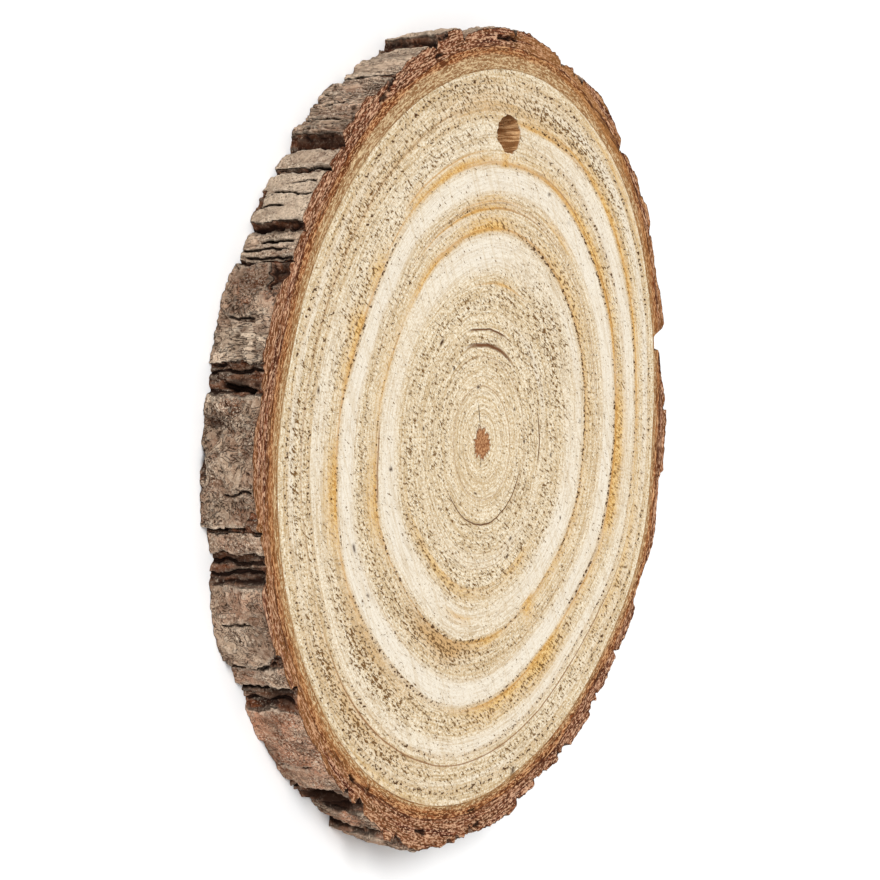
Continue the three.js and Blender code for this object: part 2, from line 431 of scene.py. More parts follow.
# Crisp golden lines along the rings, in the same form.
GOLD_LINES = [
    (0.876, 0.004, 0.75, 36, 30),
    (0.864, 0.0036, 0.7, 68, 14),
    (0.747, 0.006, 0.85, 10, 52),
    (0.744, 0.005, 0.6, 76, 20),
    (0.776, 0.004, 0.65, 106, 16),
    (0.754, 0.0034, 0.6, 112, 22),
    (0.744, 0.005, 0.7, 164, 22),
    (0.745, 0.005, 0.6, 196, 18),
    (0.748, 0.005, 0.75, 290, 28),
    (0.746, 0.004, 0.6, 326, 20),
    (0.621, 0.0034, 0.75, 96, 24),
    (0.64, 0.003, 0.5, 86, 14),
    (0.564, 0.005, 0.8, 88, 30),
    (0.56, 0.004, 0.6, 36, 26),
    (0.555, 0.0044, 0.6, 140, 30),
    (0.558, 0.004, 0.55, 196, 22),
    (0.559, 0.0044, 0.65, 256, 26),
    (0.557, 0.004, 0.45, 320, 30),
    (0.425, 0.0026, 0.5, 76, 18),
    (0.408, 0.003, 0.35, 240, 40),
]
# How far these lines wander off their ring.
LINE_WANDER = 0.006
PITH_RADIUS = 2.2
# Small dark holes and bits of bark in the face: angle, ring, half length along the ring, half width in mm.
DARK_SPOTS = [
    (98, 0.152, 0.55, 0.22),
    (101, 0.078, 0.13, 1.8),
    (262, 0.056, 0.1, 0.7),
    (7, 0.283, 0.3, 0.3),
    (1, 0.234, 0.32, 0.34),
    (27, 0.2, 0.28, 0.3),
    (44, 0.337, 0.34, 0.24),
    (51, 0.712, 0.24, 0.34),
    (61, 0.72, 0.3, 0.26),
    (6, 0.53, 0.22, 0.34),
    (87, 0.82, 0.24, 0.2),
    (188, 0.48, 0.4, 0.5),
    (202, 0.683, 0.6, 0.35),
    (213, 0.712, 0.24, 0.3),
    (213.5, 0.686, 0.26, 0.28),
    (192, 0.64, 0.22, 0.55),
    (129, 0.352, 0.8, 0.3),
    (173, 0.312, 0.34, 0.3),
    (127, 0.25, 0.36, 0.28),
    (294, 0.358, 0.55, 0.24),
    (301, 0.32, 0.6, 0.22),
    (255, 0.139, 0.55, 0.16),
    (355, 0.388, 0.3, 0.34),
    (335, 0.5, 0.22, 0.3),
    (281, 0.985, 0.6, 0.55),
    (171, 0.851, 0.4, 0.34),
]

# Hanging hole.
HOLE_CENTRE = (8.3, 46.0)
HOLE_RADII = (3.45, 2.75)

# -------------------------------------------------------------------------------- mesh densities

RIM_COLUMNS = 1600
RIM_ROWS = 40
CUT_ROWS = 12
BACK_CUT_ROWS = 6
WOOD_COLUMNS = 400
WOOD_RINGS = 200
BACK_RINGS = 16
HOLE_COLUMNS = 144
HOLE_ROWS = 36

# The light on the stage: how bright its surroundings are, and how much brighter than its own colour
# the slice's face shows in all the light together. Each lamp: where it shines from, how strongly, and
# how wide it looks from the slice in degrees.
WORLD_STRENGTH = 0.62
STAGE_LIGHT = 1.2
KEY_LIGHT = ((-0.62, 0.30, 0.78), 2.36, 28)
FILL_LIGHT = ((-0.9, -0.2, 0.5), 0.52, 40)
FLOOR_HALF_WIDTH = 6.0
FLOOR_DROP = 0.00005

# Where the pieces of the wood's surface lie on its bake: the centre and half size of each face, and
# the corner and size of the hole's wall and of the side under the bark.
BAKE_UV = "OFBake"
FRONT_UV = (0.345, 0.345, 0.34)
BACK_UV = (0.759, 0.759, 0.234)
HOLE_UV = (0.72, 0.04, 0.2, 0.1)
SIDE_UV = (0.03, 0.95, 0.3, 0.02)
BARK_UV_MARGIN = 0.006
# Edges sharper than this stay sharp.
SMOOTH_ANGLE = math.radians(40)
BARK_SMOOTH_ANGLE = math.radians(28)

# How deep the finest relief is, in metres, and how much each material shines.
WOOD_BUMP = 0.00013
BARK_BUMP = 0.00022
WOOD_SHINE = 0.10
BARK_SHINE = 0.06

# --------------------------------------------------------------------------------------- helpers


def smoothstep(low, high, value):
    """0 below low, 1 above high, smooth between."""
    share = np.clip((value - low) / (high - low), 0, 1)
    return share * share * (3 - 2 * share)


def angle_between(angle, centre):
    """Degrees from the centre to each angle, from -180 to 180."""
    return (angle - centre + 180) % 360 - 180


def mm_round(angle, centre):
    """Millimetres round the rim from the centre to each angle."""
    return angle_between(angle, centre) / DEGREES_PER_MM


def to_xy(angle, radius):
    """X and Y of the points at these angles and distances from the pith."""
    turned = np.radians(angle)
    return radius * np.cos(turned), radius * np.sin(turned)


def angle_bump(angle, centre, width):
    """1 at the centre angle, falling away over the width in degrees. A width over 360 is 1 all round."""
    if width > 360:
        return np.ones_like(angle)
    return np.exp(-((angle_between(angle, centre) / width) ** 2))


def value_noise(u, v, columns, seed):
    """Smooth noise from -1 to 1 with cells one unit wide. It repeats every `columns` cells along u.

    Each pattern has a seed of its own, so that no two are alike.
    """
    lowest = int(np.floor(v.min()))
    rows = int(np.ceil(v.max())) - lowest + 3
    lattice = np.random.default_rng(seed).uniform(-1, 1, (rows, columns))
    column = np.floor(u).astype(int)
    row = np.floor(v).astype(int)
    along = smoothstep(0, 1, u - column)
    across = smoothstep(0, 1, v - row)
    row = row - lowest
    left = column % columns
    right = (column + 1) % columns
    low = lattice[row, left] * (1 - along) + lattice[row, right] * along
    high = lattice[row + 1, left] * (1 - along) + lattice[row + 1, right] * along
    return low * (1 - across) + high * across


def rim_noise(angle, height, cell_round, cell_up, seed, octaves=1):
    """Noise over the rim. Its cells are cell_round mm long round the rim and cell_up mm high."""
    total = np.zeros_like(angle)
    for octave in range(octaves):
        scale = 2**octave
        columns = max(3, round(2 * math.pi * RIM_RADIUS * scale / cell_round))
        u = (angle % 360) / 360 * columns
        v = height * scale / cell_up
        total += value_noise(u, v, columns, seed + octave) / scale
    return total


def blurred(field, reach):
    """The field averaged over its neighbours; it repeats along its last axis and not up its first."""
    for _ in range(reach):
        field = (np.roll(field, 1, 1) + field + np.roll(field, -1, 1)) / 3
        padded = np.vstack([field[:1], field, field[-1:]])
        field = (padded[:-2] + field + padded[2:]) / 3
    return field


def make_object(name, points, faces):
    """A mesh object from points in millimetres."""
    mesh = bpy.data.meshes.new(name)
    mesh.from_pydata((points * METRE).tolist(), [], faces)
    mesh.validate()
    piece = bpy.data.objects.new(name, mesh)
    bpy.context.scene.collection.objects.link(piece)
    return piece


def mesh_points(mesh):
    """A mesh's points in millimetres."""
    points = np.empty(len(mesh.vertices) * 3)
    mesh.vertices.foreach_get("co", points)
    return points.reshape(-1, 3) / METRE


def set_attribute(mesh, name, values):
    """Stores one number for each point of the mesh."""
    attribute = mesh.attributes.new(name, "FLOAT", "POINT")
    attribute.data.foreach_set("value", np.asarray(values, dtype=np.float32).ravel())


def grid_faces(first, columns, rows):
    """Quads between `rows` rings of points that each go once round, starting at point `first`."""
    faces = []
    for row in range(rows - 1):
        low = first + row * columns
        high = low + columns
        for column in range(columns):
            turn = (column + 1) % columns
            faces.append((low + column, low + turn, high + turn, high + column))
    return faces


# ---------------------------------------------------------------------------------- wood outline


def slice_radius(angle):
    """Distance from the pith to the outside of the wood, as if the bark were nowhere thicker inwards."""
    amount, towards = OVAL
    radius = WOOD_RADIUS + amount * np.cos(2 * np.radians(angle - towards))
    amount, towards = OFF_CENTRE
    radius = radius + amount * np.cos(np.radians(angle - towards))
    for centre, width, amount in OUTLINE_BUMPS:
        radius = radius + amount * angle_bump(angle, centre, width)
    return radius


def bark_inroad(angle):
    """How far the bark reaches into the wood."""
    amount = np.zeros_like(angle, dtype=float)
    for centre, width, depth in BARK_INROADS:
        amount += depth * angle_bump(angle, centre, width)
    return amount


def wood_radius(angle):
    """Distance from the pith to the outside of the wood."""
    return slice_radius(angle) - bark_inroad(angle)


def even_ring(angle, radius):
    """0 at the pith and 1 at the bark. Rings are round at the pith and take on the outline outwards."""
    deviation = slice_radius(angle) - WOOD_RADIUS
    ring = radius / WOOD_RADIUS
    for _ in range(RING_PASSES):
        ring = (radius - deviation * smoothstep(ROUND_CORE, 1, ring)) / WOOD_RADIUS
    return ring


def ring_at(angle, radius):
    """The growth ring that passes a point, with the places where the rings drift."""
    ring = even_ring(angle, radius)
    drift = np.zeros_like(ring)
    for centre, width, at, reach, amount in RING_DRIFTS:
        drift += amount * angle_bump(angle, centre, width) * np.exp(-(((ring - at) / reach) ** 2))
    wobble = 0.003 * value_noise(angle / 360 * 24 % 24, ring * 7, 24, 40)
    wobble += 0.0016 * value_noise(angle / 360 * 75 % 75, ring * 18, 75, 41)
    return ring - drift - wobble * smoothstep(0.08, 0.3, ring)


def ring_features(rows, angle, ring, power=2):
    """The strongest of a list of bands at each point, from 0 to 1. A high power makes them flat-topped."""
    total = np.zeros_like(ring)
    for at, reach, centre, width, strength in rows:
        here = np.exp(-(np.abs((ring - at) / reach) ** power)) * angle_bump(angle, centre, width)
        total = np.maximum(total, strength * here)
    return total


def fading_features(rows, angle, ring):
    """Bands that start sharply at their ring and fade outwards."""
    total = np.zeros_like(ring)
    for start, fade, centre, width, strength in rows:
        out = ring - start
        here = np.where(out < 0, np.exp(-((out / 0.005) ** 2)), np.exp(-((out / fade) ** 2)))
        total = np.maximum(total, strength * here * angle_bump(angle, centre, width))
    return total


# ------------------------------------------------------------------------------------- the wood


def wood_surface_height(angle, radius, ring):
    """Relief of the sawn front face: shallow steps at the rings, torn patches and saw marks."""
    x, y = to_xy(angle, radius)
    torn = ring_features(TORN_GRAIN, angle, ring)
    pale = ring_features(PALE_BANDS, angle, ring, 4)
    rough = value_noise(x / 0.7, y / 0.7, 4096, 50) * 0.05 * torn
    marks = 0.012 * np.sin((x * 0.5 + y * 0.87) * 2.1) + 0.01 * value_noise(x / 9, y / 9, 4096, 51)
    return rough - 0.04 * torn + 0.02 * pale + marks


def ring_points(share, height):
    """A ring of points on a face of the wood, at a share of the way from the pith to the bark."""
    angle = np.arange(WOOD_COLUMNS) * 360 / WOOD_COLUMNS
    deviation = wood_radius(angle) - WOOD_RADIUS
    radius = share * WOOD_RADIUS + deviation * smoothstep(ROUND_CORE, 1, share)
    z = np.full_like(angle, height)
    if height > 0:
        relief = wood_surface_height(angle, radius, ring_at(angle, radius))
        z = z + relief * (1 - smoothstep(0.985, 1, share))
    return np.stack([*to_xy(angle, radius), z], 1)


def make_wood_body():
    """The wood without its hole: a fine front face, a coarser back face and the side under the bark."""
    centres = [[0, 0, SLICE_TOP], [0, 0, 0]]
    rings = []
    for index in range(1, WOOD_RINGS + 1):
        rings.append(ring_points(index / WOOD_RINGS, SLICE_TOP))
    for index in range(BACK_RINGS, 0, -1):
        rings.append(ring_points(index / BACK_RINGS, 0))
    points = np.vstack([centres, *rings])
    count = len(rings)
    faces = []
    for face in grid_faces(2, WOOD_COLUMNS, count):
        faces.append(face[::-1])
    last = 2 + (count - 1) * WOOD_COLUMNS
    for column in range(WOOD_COLUMNS):
        turn = (column + 1) % WOOD_COLUMNS
        faces.append((0, 2 + column, 2 + turn))
        faces.append((1, last + turn, last + column))
    return make_object("sawn_wood", points, faces)


def make_hole_plug():
    """The drilled space: a rough oval whose edge is torn wider at both faces."""
    turn = np.arange(HOLE_COLUMNS) * 360 / HOLE_COLUMNS
    heights = np.linspace(-1, SLICE_TOP + 1, HOLE_ROWS)
    angle, height = np.meshgrid(turn, heights)
    fibres = value_noise(angle / 360 * 46, height / 1.4, 46, 60) * 0.14
    fibres += value_noise(angle / 360 * 9, height / 6, 9, 61) * 0.12
    edge = np.exp(-((SLICE_TOP - height).clip(0) / 0.6) ** 2) + np.exp(-(height.clip(0) / 0.5) ** 2)
    chips = (0.2 + value_noise(angle / 360 * 29, height / 3, 29, 62)).clip(0) * 0.30 * edge
    grow = 1 + (fibres * 0.7 + chips) / HOLE_RADII[1]
    x = HOLE_CENTRE[0] + HOLE_RADII[0] * grow * np.cos(np.radians(angle))
    y = HOLE_CENTRE[1] + HOLE_RADII[1] * grow * np.sin(np.radians(angle))
    points = np.stack([x, y, height], 2).reshape(-1, 3)
    faces = grid_faces(0, HOLE_COLUMNS, HOLE_ROWS)
    faces.append(tuple(range(HOLE_COLUMNS))[::-1])
    faces.append(tuple(range((HOLE_ROWS - 1) * HOLE_COLUMNS, HOLE_ROWS * HOLE_COLUMNS)))
    return make_object("hole_plug", points, faces)


def cut_away(piece, plug):
    """Cuts the plug out of the piece for good, and deletes the plug."""
    modifier = piece.modifiers.new("cut", "BOOLEAN")
    modifier.operation = "DIFFERENCE"
    modifier.solver = "EXACT"
    modifier.object = plug
    graph = bpy.context.evaluated_depsgraph_get()
    result = bpy.data.meshes.new_from_object(piece.evaluated_get(graph))
    piece.modifiers.clear()
    old = piece.data
    piece.data = result
    bpy.data.meshes.remove(old)
    bpy.data.objects.remove(plug)


def dark_spots(angle, radius, ring):
    """1 on the small dark spots of the face."""
    total = np.zeros_like(angle)
    for at, spot_ring, length, width in DARK_SPOTS:
        along = np.radians(angle_between(angle, at)) * radius / length
        across = (ring - spot_ring) * WOOD_RADIUS / width
        total = np.maximum(total, 1 - smoothstep(0.5, 1.3, np.hypot(along, across)))
    return total


def describe_wood(mesh):
    """Stores on the mesh what the wood's material needs to know of each point."""
    points = mesh_points(mesh)
    x, y, z = points.T
    radius = np.hypot(x, y)
    angle = np.degrees(np.arctan2(y, x))
    ring = ring_at(angle, radius)
    set_attribute(mesh, "ring", ring)
    set_attribute(mesh, "stain", fading_features(STAINS, angle, ring))
    set_attribute(mesh, "brown", fading_features(BROWN_STAINS, angle, ring))
    set_attribute(mesh, "torn", ring_features(TORN_GRAIN, angle, ring))
    set_attribute(mesh, "pale", ring_features(PALE_BANDS, angle, ring, 4))
    in_front = z > SLICE_TOP / 2
    set_attribute(mesh, "knot", dark_spots(angle, radius, ring) * in_front)
    off_axis = np.hypot((x - HOLE_CENTRE[0]) / HOLE_RADII[0], (y - HOLE_CENTRE[1]) / HOLE_RADII[1])
    inside = (off_axis < 1.3) & (z > 0.15) & (z < SLICE_TOP - 0.15)
    set_attribute(mesh, "bore", inside)


def make_wood():
    """The sawn wood with its hole, its material and its bake layout."""
    piece = make_wood_body()
    cut_away(piece, make_hole_plug())
    mesh = piece.data
    mesh.name = "sawn_wood"
    describe_wood(mesh)
    unwrap_wood(mesh)
    mesh.materials.clear()
    mesh.materials.append(wood_material())
    mesh.shade_smooth()
    mesh.set_sharp_from_angle(angle=SMOOTH_ANGLE)
    return piece


def unwrap_wood(mesh):
    """Front face, back face, hole wall and hidden side, each in its own part of the square."""
    layer = mesh.uv_layers.new(name=BAKE_UV)
    points = mesh_points(mesh)
    reach = wood_radius(np.arange(360.0)).max() * 1.005
    uvs = np.empty((len(mesh.loops), 2))
    for polygon in mesh.polygons:
        loops = list(polygon.loop_indices)
        corners = points[[mesh.loops[loop].vertex_index for loop in loops]]
        normal_up = polygon.normal.z
        if abs(normal_up) > 0.5:
            u0, v0, size = FRONT_UV if normal_up > 0 else BACK_UV
            side = 1 if normal_up > 0 else -1
            uvs[loops, 0] = u0 + side * corners[:, 0] / reach * size
            uvs[loops, 1] = v0 + corners[:, 1] / reach * size
            continue
        away = corners[:, :2] - HOLE_CENTRE
        near_hole = np.hypot(*away.mean(0)) < 2 * HOLE_RADII[0]
        around = away if near_hole else corners[:, :2]
        turn = np.degrees(np.arctan2(around[:, 1], around[:, 0]))
        turn = (turn[0] % 360 + angle_between(turn, turn[0])) / 360
        up = corners[:, 2] / SLICE_TOP
        u0, v0, width, height = HOLE_UV if near_hole else SIDE_UV
        uvs[loops, 0] = u0 + width * turn
        uvs[loops, 1] = v0 + height * up
    layer.data.foreach_set("uv", uvs.ravel().astype(np.float32))


# ------------------------------------------------------------------------------------- the bark


def through_three(heights, share):
    """A smooth curve through three heights at the start, middle and end of a plate."""
    start, middle, end = heights
    control = 2 * middle - (start + end) / 2
    return (1 - share) ** 2 * start + 2 * share * (1 - share) * control + share**2 * end


def plate_inside(angle, height, start, end, roundness):
    """How far inside a plate's outline each point lies, in mm. Its corners at the faces are round."""
    half = (end - start) / 2 / DEGREES_PER_MM
    across = np.abs(mm_round(angle, (start + end) / 2))
    corner = min(roundness, half * 0.9)
    p = across - (half - corner)
    q = np.abs(height - SLICE_TOP / 2) - (SLICE_TOP / 2 + PLATE_OVERRUN - corner)
    outside = np.hypot(p.clip(0), q.clip(0)) + np.minimum(np.maximum(p, q), 0) - corner
    return -outside


def crown_rise(angle):
    """How far the outer skin stands off the wood, joined straight across the grooves."""
    places = []
    rises = []
    for start, end, heights, *_ in PLATES:
        for share in (0, 0.25, 0.5, 0.75, 1):
            places.append(start + share * (end - start))
            rises.append(through_three(heights, share))
    return np.interp(angle % 360, np.array(places) % 360, rises, period=360)


def groove_floor(angle, height, crown):
    """The torn layers that show between the plates."""
    strips = rim_noise(angle, height, 1.1, 4.0, 100, 2) + 0.8 * rim_noise(angle, height, 1.2, 1.5, 103, 2)
    layers = strips * GROOVE_LAYERS
    whole = np.floor(layers)
    at_face = smoothstep(SLICE_TOP - GROOVE_RISE_REACH, SLICE_TOP, height)
    depth = GROOVE_DEPTH * (1 - (1 - GROOVE_AT_FACE) * at_face)
    return crown - depth + LAYER_HEIGHT * (whole + smoothstep(0.7, 1.0, layers - whole))


def flake_steps(angle, height, seed, wrinkled):
    """Thin scales lying on each other: a hilly field cut into steps, from about -1 to 1.

    Wrinkled bark has its scales drawn out along the trunk.
    """
    large, small = LONG_SCALES if wrinkled else ROUND_SCALES
    hills = rim_noise(angle, height, *large, seed, 3)
    hills = hills + 0.3 * rim_noise(angle, height, *small, seed + 9, 2)
    steps = hills * 2.0
    whole = np.floor(steps)
    return (whole + smoothstep(0.78, 1.0, steps - whole)) / 3


def bite_skin(inside, angle, height, ragged):
    """Moves a plate's outline in where its skin has broken away."""
    for at, up, round_reach, up_reach in SKIN_BITES:
        across = mm_round(angle, at) / round_reach
        bite = np.hypot(across, (height - up) / up_reach) - 1 + 0.35 * ragged
        inside = np.minimum(inside, bite * min(round_reach, up_reach))
    return inside


def swell_and_slope(angle, height):
    """How the plates swell between the faces and draw in towards the back."""
    level = height / SLICE_TOP
    draw_in = np.full_like(angle, BACK_DRAW_IN)
    for centre, width, amount in BACK_SLOPES:
        draw_in += amount * angle_bump(angle, centre, width)
    return PLATE_SWELL * np.sin(np.pi * level) - draw_in * (1 - level)


def add_plates(rim, angle, height, ragged):
    """Lays each plate on the grooves, and marks its skin, colour and scales."""
    bulge = swell_and_slope(angle, height)
    for index, (start, end, heights, pale, redness, flaky) in enumerate(PLATES):
        inside = plate_inside(angle, height, start, end, PLATE_CORNER) + 0.10 * ragged
        inside = bite_skin(inside, angle, height, ragged)
        chosen = inside > -0.15
        share = np.clip(angle_between(angle, start) / (end - start), 0, 1)
        wrinkled = pale > WRINKLED_PALE and flaky > WRINKLED_FLAKY
        scales = flake_steps(angle, height, 200 + 20 * index, wrinkled)
        body = 0.85 * smoothstep(-0.10, 0.10, inside)
        body += 0.15 * smoothstep(-0.08, 0.10, inside + 0.4 * ragged - 0.4)
        top = through_three(heights, share) + bulge + FLAKE_RELIEF * (0.1 + 0.9 * flaky) * scales
        looks = {
            "rise": rim["rise"] + (top - rim["rise"]) * body,
            "skin": np.maximum(rim["skin"], body),
            "light": pale + 0.12 * ragged,
            "red": redness,
            "flaky": flaky,
            "scale": 0.5 + 0.5 * scales * (0.3 + 0.7 * flaky),
        }
        for name, value in looks.items():
            rim[name] = np.where(chosen, value, rim[name])


def tint_skin(rim, angle, height):
    """Makes patches of the skin paler or redder."""
    for at, up, reach_round, reach_up, paler, redder in SKIN_TINTS:
        across = mm_round(angle, at) / reach_round
        here = np.exp(-(across**2) - ((height - up) / reach_up) ** 2)
        rim["light"] = rim["light"] + paler * here
        rim["red"] = rim["red"] + redder * here


def darken_and_shadow_patches(rim, angle, height, ragged):
    """Marks the patches that are nearly black, partly dark bark and partly painted shadow in the gaps
    under overhanging plates, with ragged edges.
    """
    for at, up, reach_round, reach_up, strength in DARK_AND_SHADOW_PATCHES:
        across = mm_round(angle, at) / reach_round
        here = 1.3 - np.hypot(across, (height - up) / reach_up) + 0.5 * ragged
        rim["dark"] = np.maximum(rim["dark"], strength * smoothstep(0.0, 0.7, here))


def open_gaps(rim, angle, ragged):
    """Takes the bark away where it has broken off."""
    for start, end, left in BARK_GAPS:
        off = np.abs(angle_between(angle, (start + end) / 2)) / ((end - start) / 2)
        inside = 1 - smoothstep(0.85, 1.1, off)
        rim["rise"] = rim["rise"] * (1 - inside) + (left + 0.1 * ragged) * inside
        rim["skin"] = rim["skin"] * (1 - inside)


def add_cracks(rim, angle, height):
    """Cuts the cracks that run through the skin along the grain.

    The crack field is 1 on a crack and falls to 0 beside it, so that its line can be drawn finer
    than the mesh.
    """
    for index, (at, low, high, depth, width, slant) in enumerate(RIM_CRACKS):
        wander = EDGE_WANDER * rim_noise(angle, height, 5.0, 2.4, 300 + 10 * index, 3)
        centre = at + (slant * (height / SLICE_TOP - 0.5) + wander) * DEGREES_PER_MM
        off = np.abs(mm_round(angle, centre))
        reach = smoothstep(low - 0.6, low + 0.4, height)
        reach = reach * (1 - smoothstep(high - 0.4, high + 0.6, height))
        mask = (1 - smoothstep(0.2 * width, 0.85 * width, off)) * reach
        rim["rise"] = rim["rise"] - 0.7 * depth * mask
        rim["crack"] = np.maximum(rim["crack"], np.clip(1 - off / (1.3 * width), 0, 1) * reach)


def rim_fields():
    """The rim as a grid of rows up and columns round: where each point lies, what it is made of, and where
    shade and highlight are painted on it.
    """
    columns = np.arange(RIM_COLUMNS) * 360 / RIM_COLUMNS
    heights = np.linspace(SLICE_TOP, 0, RIM_ROWS)
    angle, height = np.meshgrid(columns, heights)
    meander = EDGE_WANDER * rim_noise(angle, height, 3.0, 2.4, 110, 4)
    wandered = angle + meander * DEGREES_PER_MM
    ragged = rim_noise(angle, height, 1.1, 1.4, 120, 3)
    crown = crown_rise(angle)
    floor = groove_floor(angle, height, crown)
    nothing = np.zeros_like(angle)
    rim = {
        "rise": floor, "skin": nothing, "light": nothing + 0.3, "red": nothing + 0.7,
        "flaky": nothing + 0.5, "scale": nothing + 0.4, "dark": nothing, "crack": nothing,
    }
    add_plates(rim, wandered, height, ragged)
    tint_skin(rim, angle, height)
    darken_and_shadow_patches(rim, angle, height, ragged)
    open_gaps(rim, wandered, ragged)
    add_cracks(rim, angle, height)
    grain = 0.10 * rim_noise(angle, height, 0.55, 0.6, 140, 1)
    grain += 0.10 * rim_noise(angle, height, 1.4, 1.8, 145, 2)
    rise = np.maximum(rim["rise"] + grain, THINNEST_BARK)
    near = blurred(rise, 2)
    wide = blurred(rise, 10)
    rim["rise"] = rise
    # Painted shade in crevices and hollows: the further a point lies below its surroundings, the darker it
    # is coloured.
    rim["crevice"] = np.clip((near - rise) / CREVICE_DEPTH, 0, 1)
    rim["deep"] = np.clip((wide - rise) / HOLLOW_DEPTH, 0, 1)
    # Painted highlight on ridges that stand above their surroundings.
    rim["ridge"] = np.clip((rise - near) / RIDGE_HEIGHT, 0, 1)
    rim["lean"] = OVERHANG * smoothstep(0.1, 1.0, rise - crown + GROOVE_DEPTH)
    rim["rise"] = rise + bark_inroad(angle)
    rim["height"] = height
    return rim


def cut_relief(angle, rise, share):
    """Relief of the cut end of the bark: torn fibres, layers that have sunk, and pits."""
    from_wood = rise * share
    relief = 0.10 * rim_noise(angle, from_wood * 3, 1.2, 1.2, 150, 2) * min(1, share * 4)
    sunk = (0.4 + rim_noise(angle, from_wood, 3.0, 2.0, 155, 2)).clip(0)
    relief -= 0.22 * smoothstep(0.6, 1.0, share) * sunk
    for at, distance, length, width, depth in BARK_PITS:
        along = np.radians(angle_between(angle, at)) * (WOOD_RADIUS + distance)
        off = np.hypot(along / length, (from_wood - distance) / width)
        relief -= depth * (1 - smoothstep(0.5, 1.1, off))
    return relief


def bark_rows(rim):
    """All rows of the bark, from the wood over the front cut, down the rim and back to the wood."""
    angle = np.arange(RIM_COLUMNS) * 360 / RIM_COLUMNS
    zero = np.zeros_like(angle)
    rows = [dict(CUT_LOOKS, rise=zero, height=zero + SLICE_TOP, lean=zero)]
    edge_rise = rim["rise"][0]
    edge_lean = rim["lean"][0]
    for share in np.arange(1, CUT_ROWS) / CUT_ROWS:
        relief = cut_relief(angle, edge_rise, share)
        place = {"rise": edge_rise * share, "height": SLICE_TOP + relief, "lean": edge_lean * share}
        # Painted shade where the cut end of the bark sinks in and in its pits.
        sunk = np.clip(-relief * 2.2 - 0.25, 0, 1)
        rows.append(dict(CUT_LOOKS, **place, deep=sunk))
    for row in range(RIM_ROWS):
        fields = {name: rim[name][row] for name in rim}
        on_edge = 0.5 if row in (0, RIM_ROWS - 1) else 0.0
        rows.append(dict(fields, cut=on_edge))
    edge_rise = rim["rise"][-1]
    edge_lean = rim["lean"][-1]
    for share in np.arange(BACK_CUT_ROWS - 1, 0, -1) / BACK_CUT_ROWS:
        relief = 0.3 * np.abs(cut_relief(angle + 40, edge_rise, share))
        rows.append(dict(CUT_LOOKS, rise=edge_rise * share, height=relief, lean=edge_lean * share))
    rows.append(dict(CUT_LOOKS, rise=zero, height=zero, lean=zero))
    return angle, rows


def make_bark():
    """The ring of bark: wood side, front cut, rim and back cut, as one closed grid."""
    angle, rows = bark_rows(rim_fields())
    count = len(rows)
    table = {}
    for name in ("rise", "height", "lean", *CUT_LOOKS):
        table[name] = np.array([np.broadcast_to(row[name], angle.shape) for row in rows])
    turned = angle + table["lean"] * DEGREES_PER_MM
    radius = wood_radius(angle) + table["rise"]
    points = np.stack([*to_xy(turned, radius), table["height"]], 2)
    faces = [face[::-1] for face in grid_faces(0, RIM_COLUMNS, count)]
    last = (count - 1) * RIM_COLUMNS
    for column in range(RIM_COLUMNS):
        turn = (column + 1) % RIM_COLUMNS
        faces.append((turn, last + turn, last + column, column))
    piece = make_object("bark", points.reshape(-1, 3), faces)
    set_attribute(piece.data, "from_wood", table["rise"])
    for name in CUT_LOOKS:
        set_attribute(piece.data, name, table[name])
    places, *kinds = zip(*INNER_BARK)
    for name, values in zip(("phloem", "tan", "golden"), kinds):
        row = np.interp(angle, places, values, period=360)
        set_attribute(piece.data, name, np.tile(row, count))
    unwrap_bark(piece.data, table["rise"].mean(1), table["height"].mean(1))
    piece.data.materials.append(bark_material())
    piece.data.shade_smooth()
    piece.data.set_sharp_from_angle(angle=BARK_SMOOTH_ANGLE)
    return piece


def unwrap_bark(mesh, rise, height):
    """Four strips, one for each quarter of the ring, as wide as the bark is from face to face."""
    steps = np.hypot(np.diff(rise), np.diff(height))
    across = np.concatenate([[0], np.cumsum(steps)])
    across = across / across[-1]
    quarter = RIM_COLUMNS // 4
    layer = mesh.uv_layers.new(name=BAKE_UV)
    vertex_of = np.empty(len(mesh.loops), dtype=np.int64)
    mesh.loops.foreach_get("vertex_index", vertex_of)
    row = vertex_of // RIM_COLUMNS
    column = vertex_of % RIM_COLUMNS
    first = column.reshape(-1, 4)
    wraps = (first.max(1) - first.min(1)) > RIM_COLUMNS / 2
    start = np.where(wraps, RIM_COLUMNS - 1, first.min(1))
    strip = np.repeat(start // quarter, 4)
    column = np.where(np.repeat(wraps, 4) & (column == 0), RIM_COLUMNS, column)
    u = BARK_UV_MARGIN + (1 - 2 * BARK_UV_MARGIN) * (column - strip * quarter) / quarter
    v = (strip + 4 * BARK_UV_MARGIN + (0.96 - 8 * BARK_UV_MARGIN) * across[row]) / 4
    closing = np.repeat((row.reshape(-1, 4).max(1) - row.reshape(-1, 4).min(1)) > 1, 4)
    v = np.where(closing, (strip + 0.975 + 0.01 * (row > 0)) / 4, v)
    uvs = np.stack([u, v], 1).astype(np.float32)
    layer.data.foreach_set("uv", uvs.ravel())


# ------------------------------------------------------------------------------------ materials


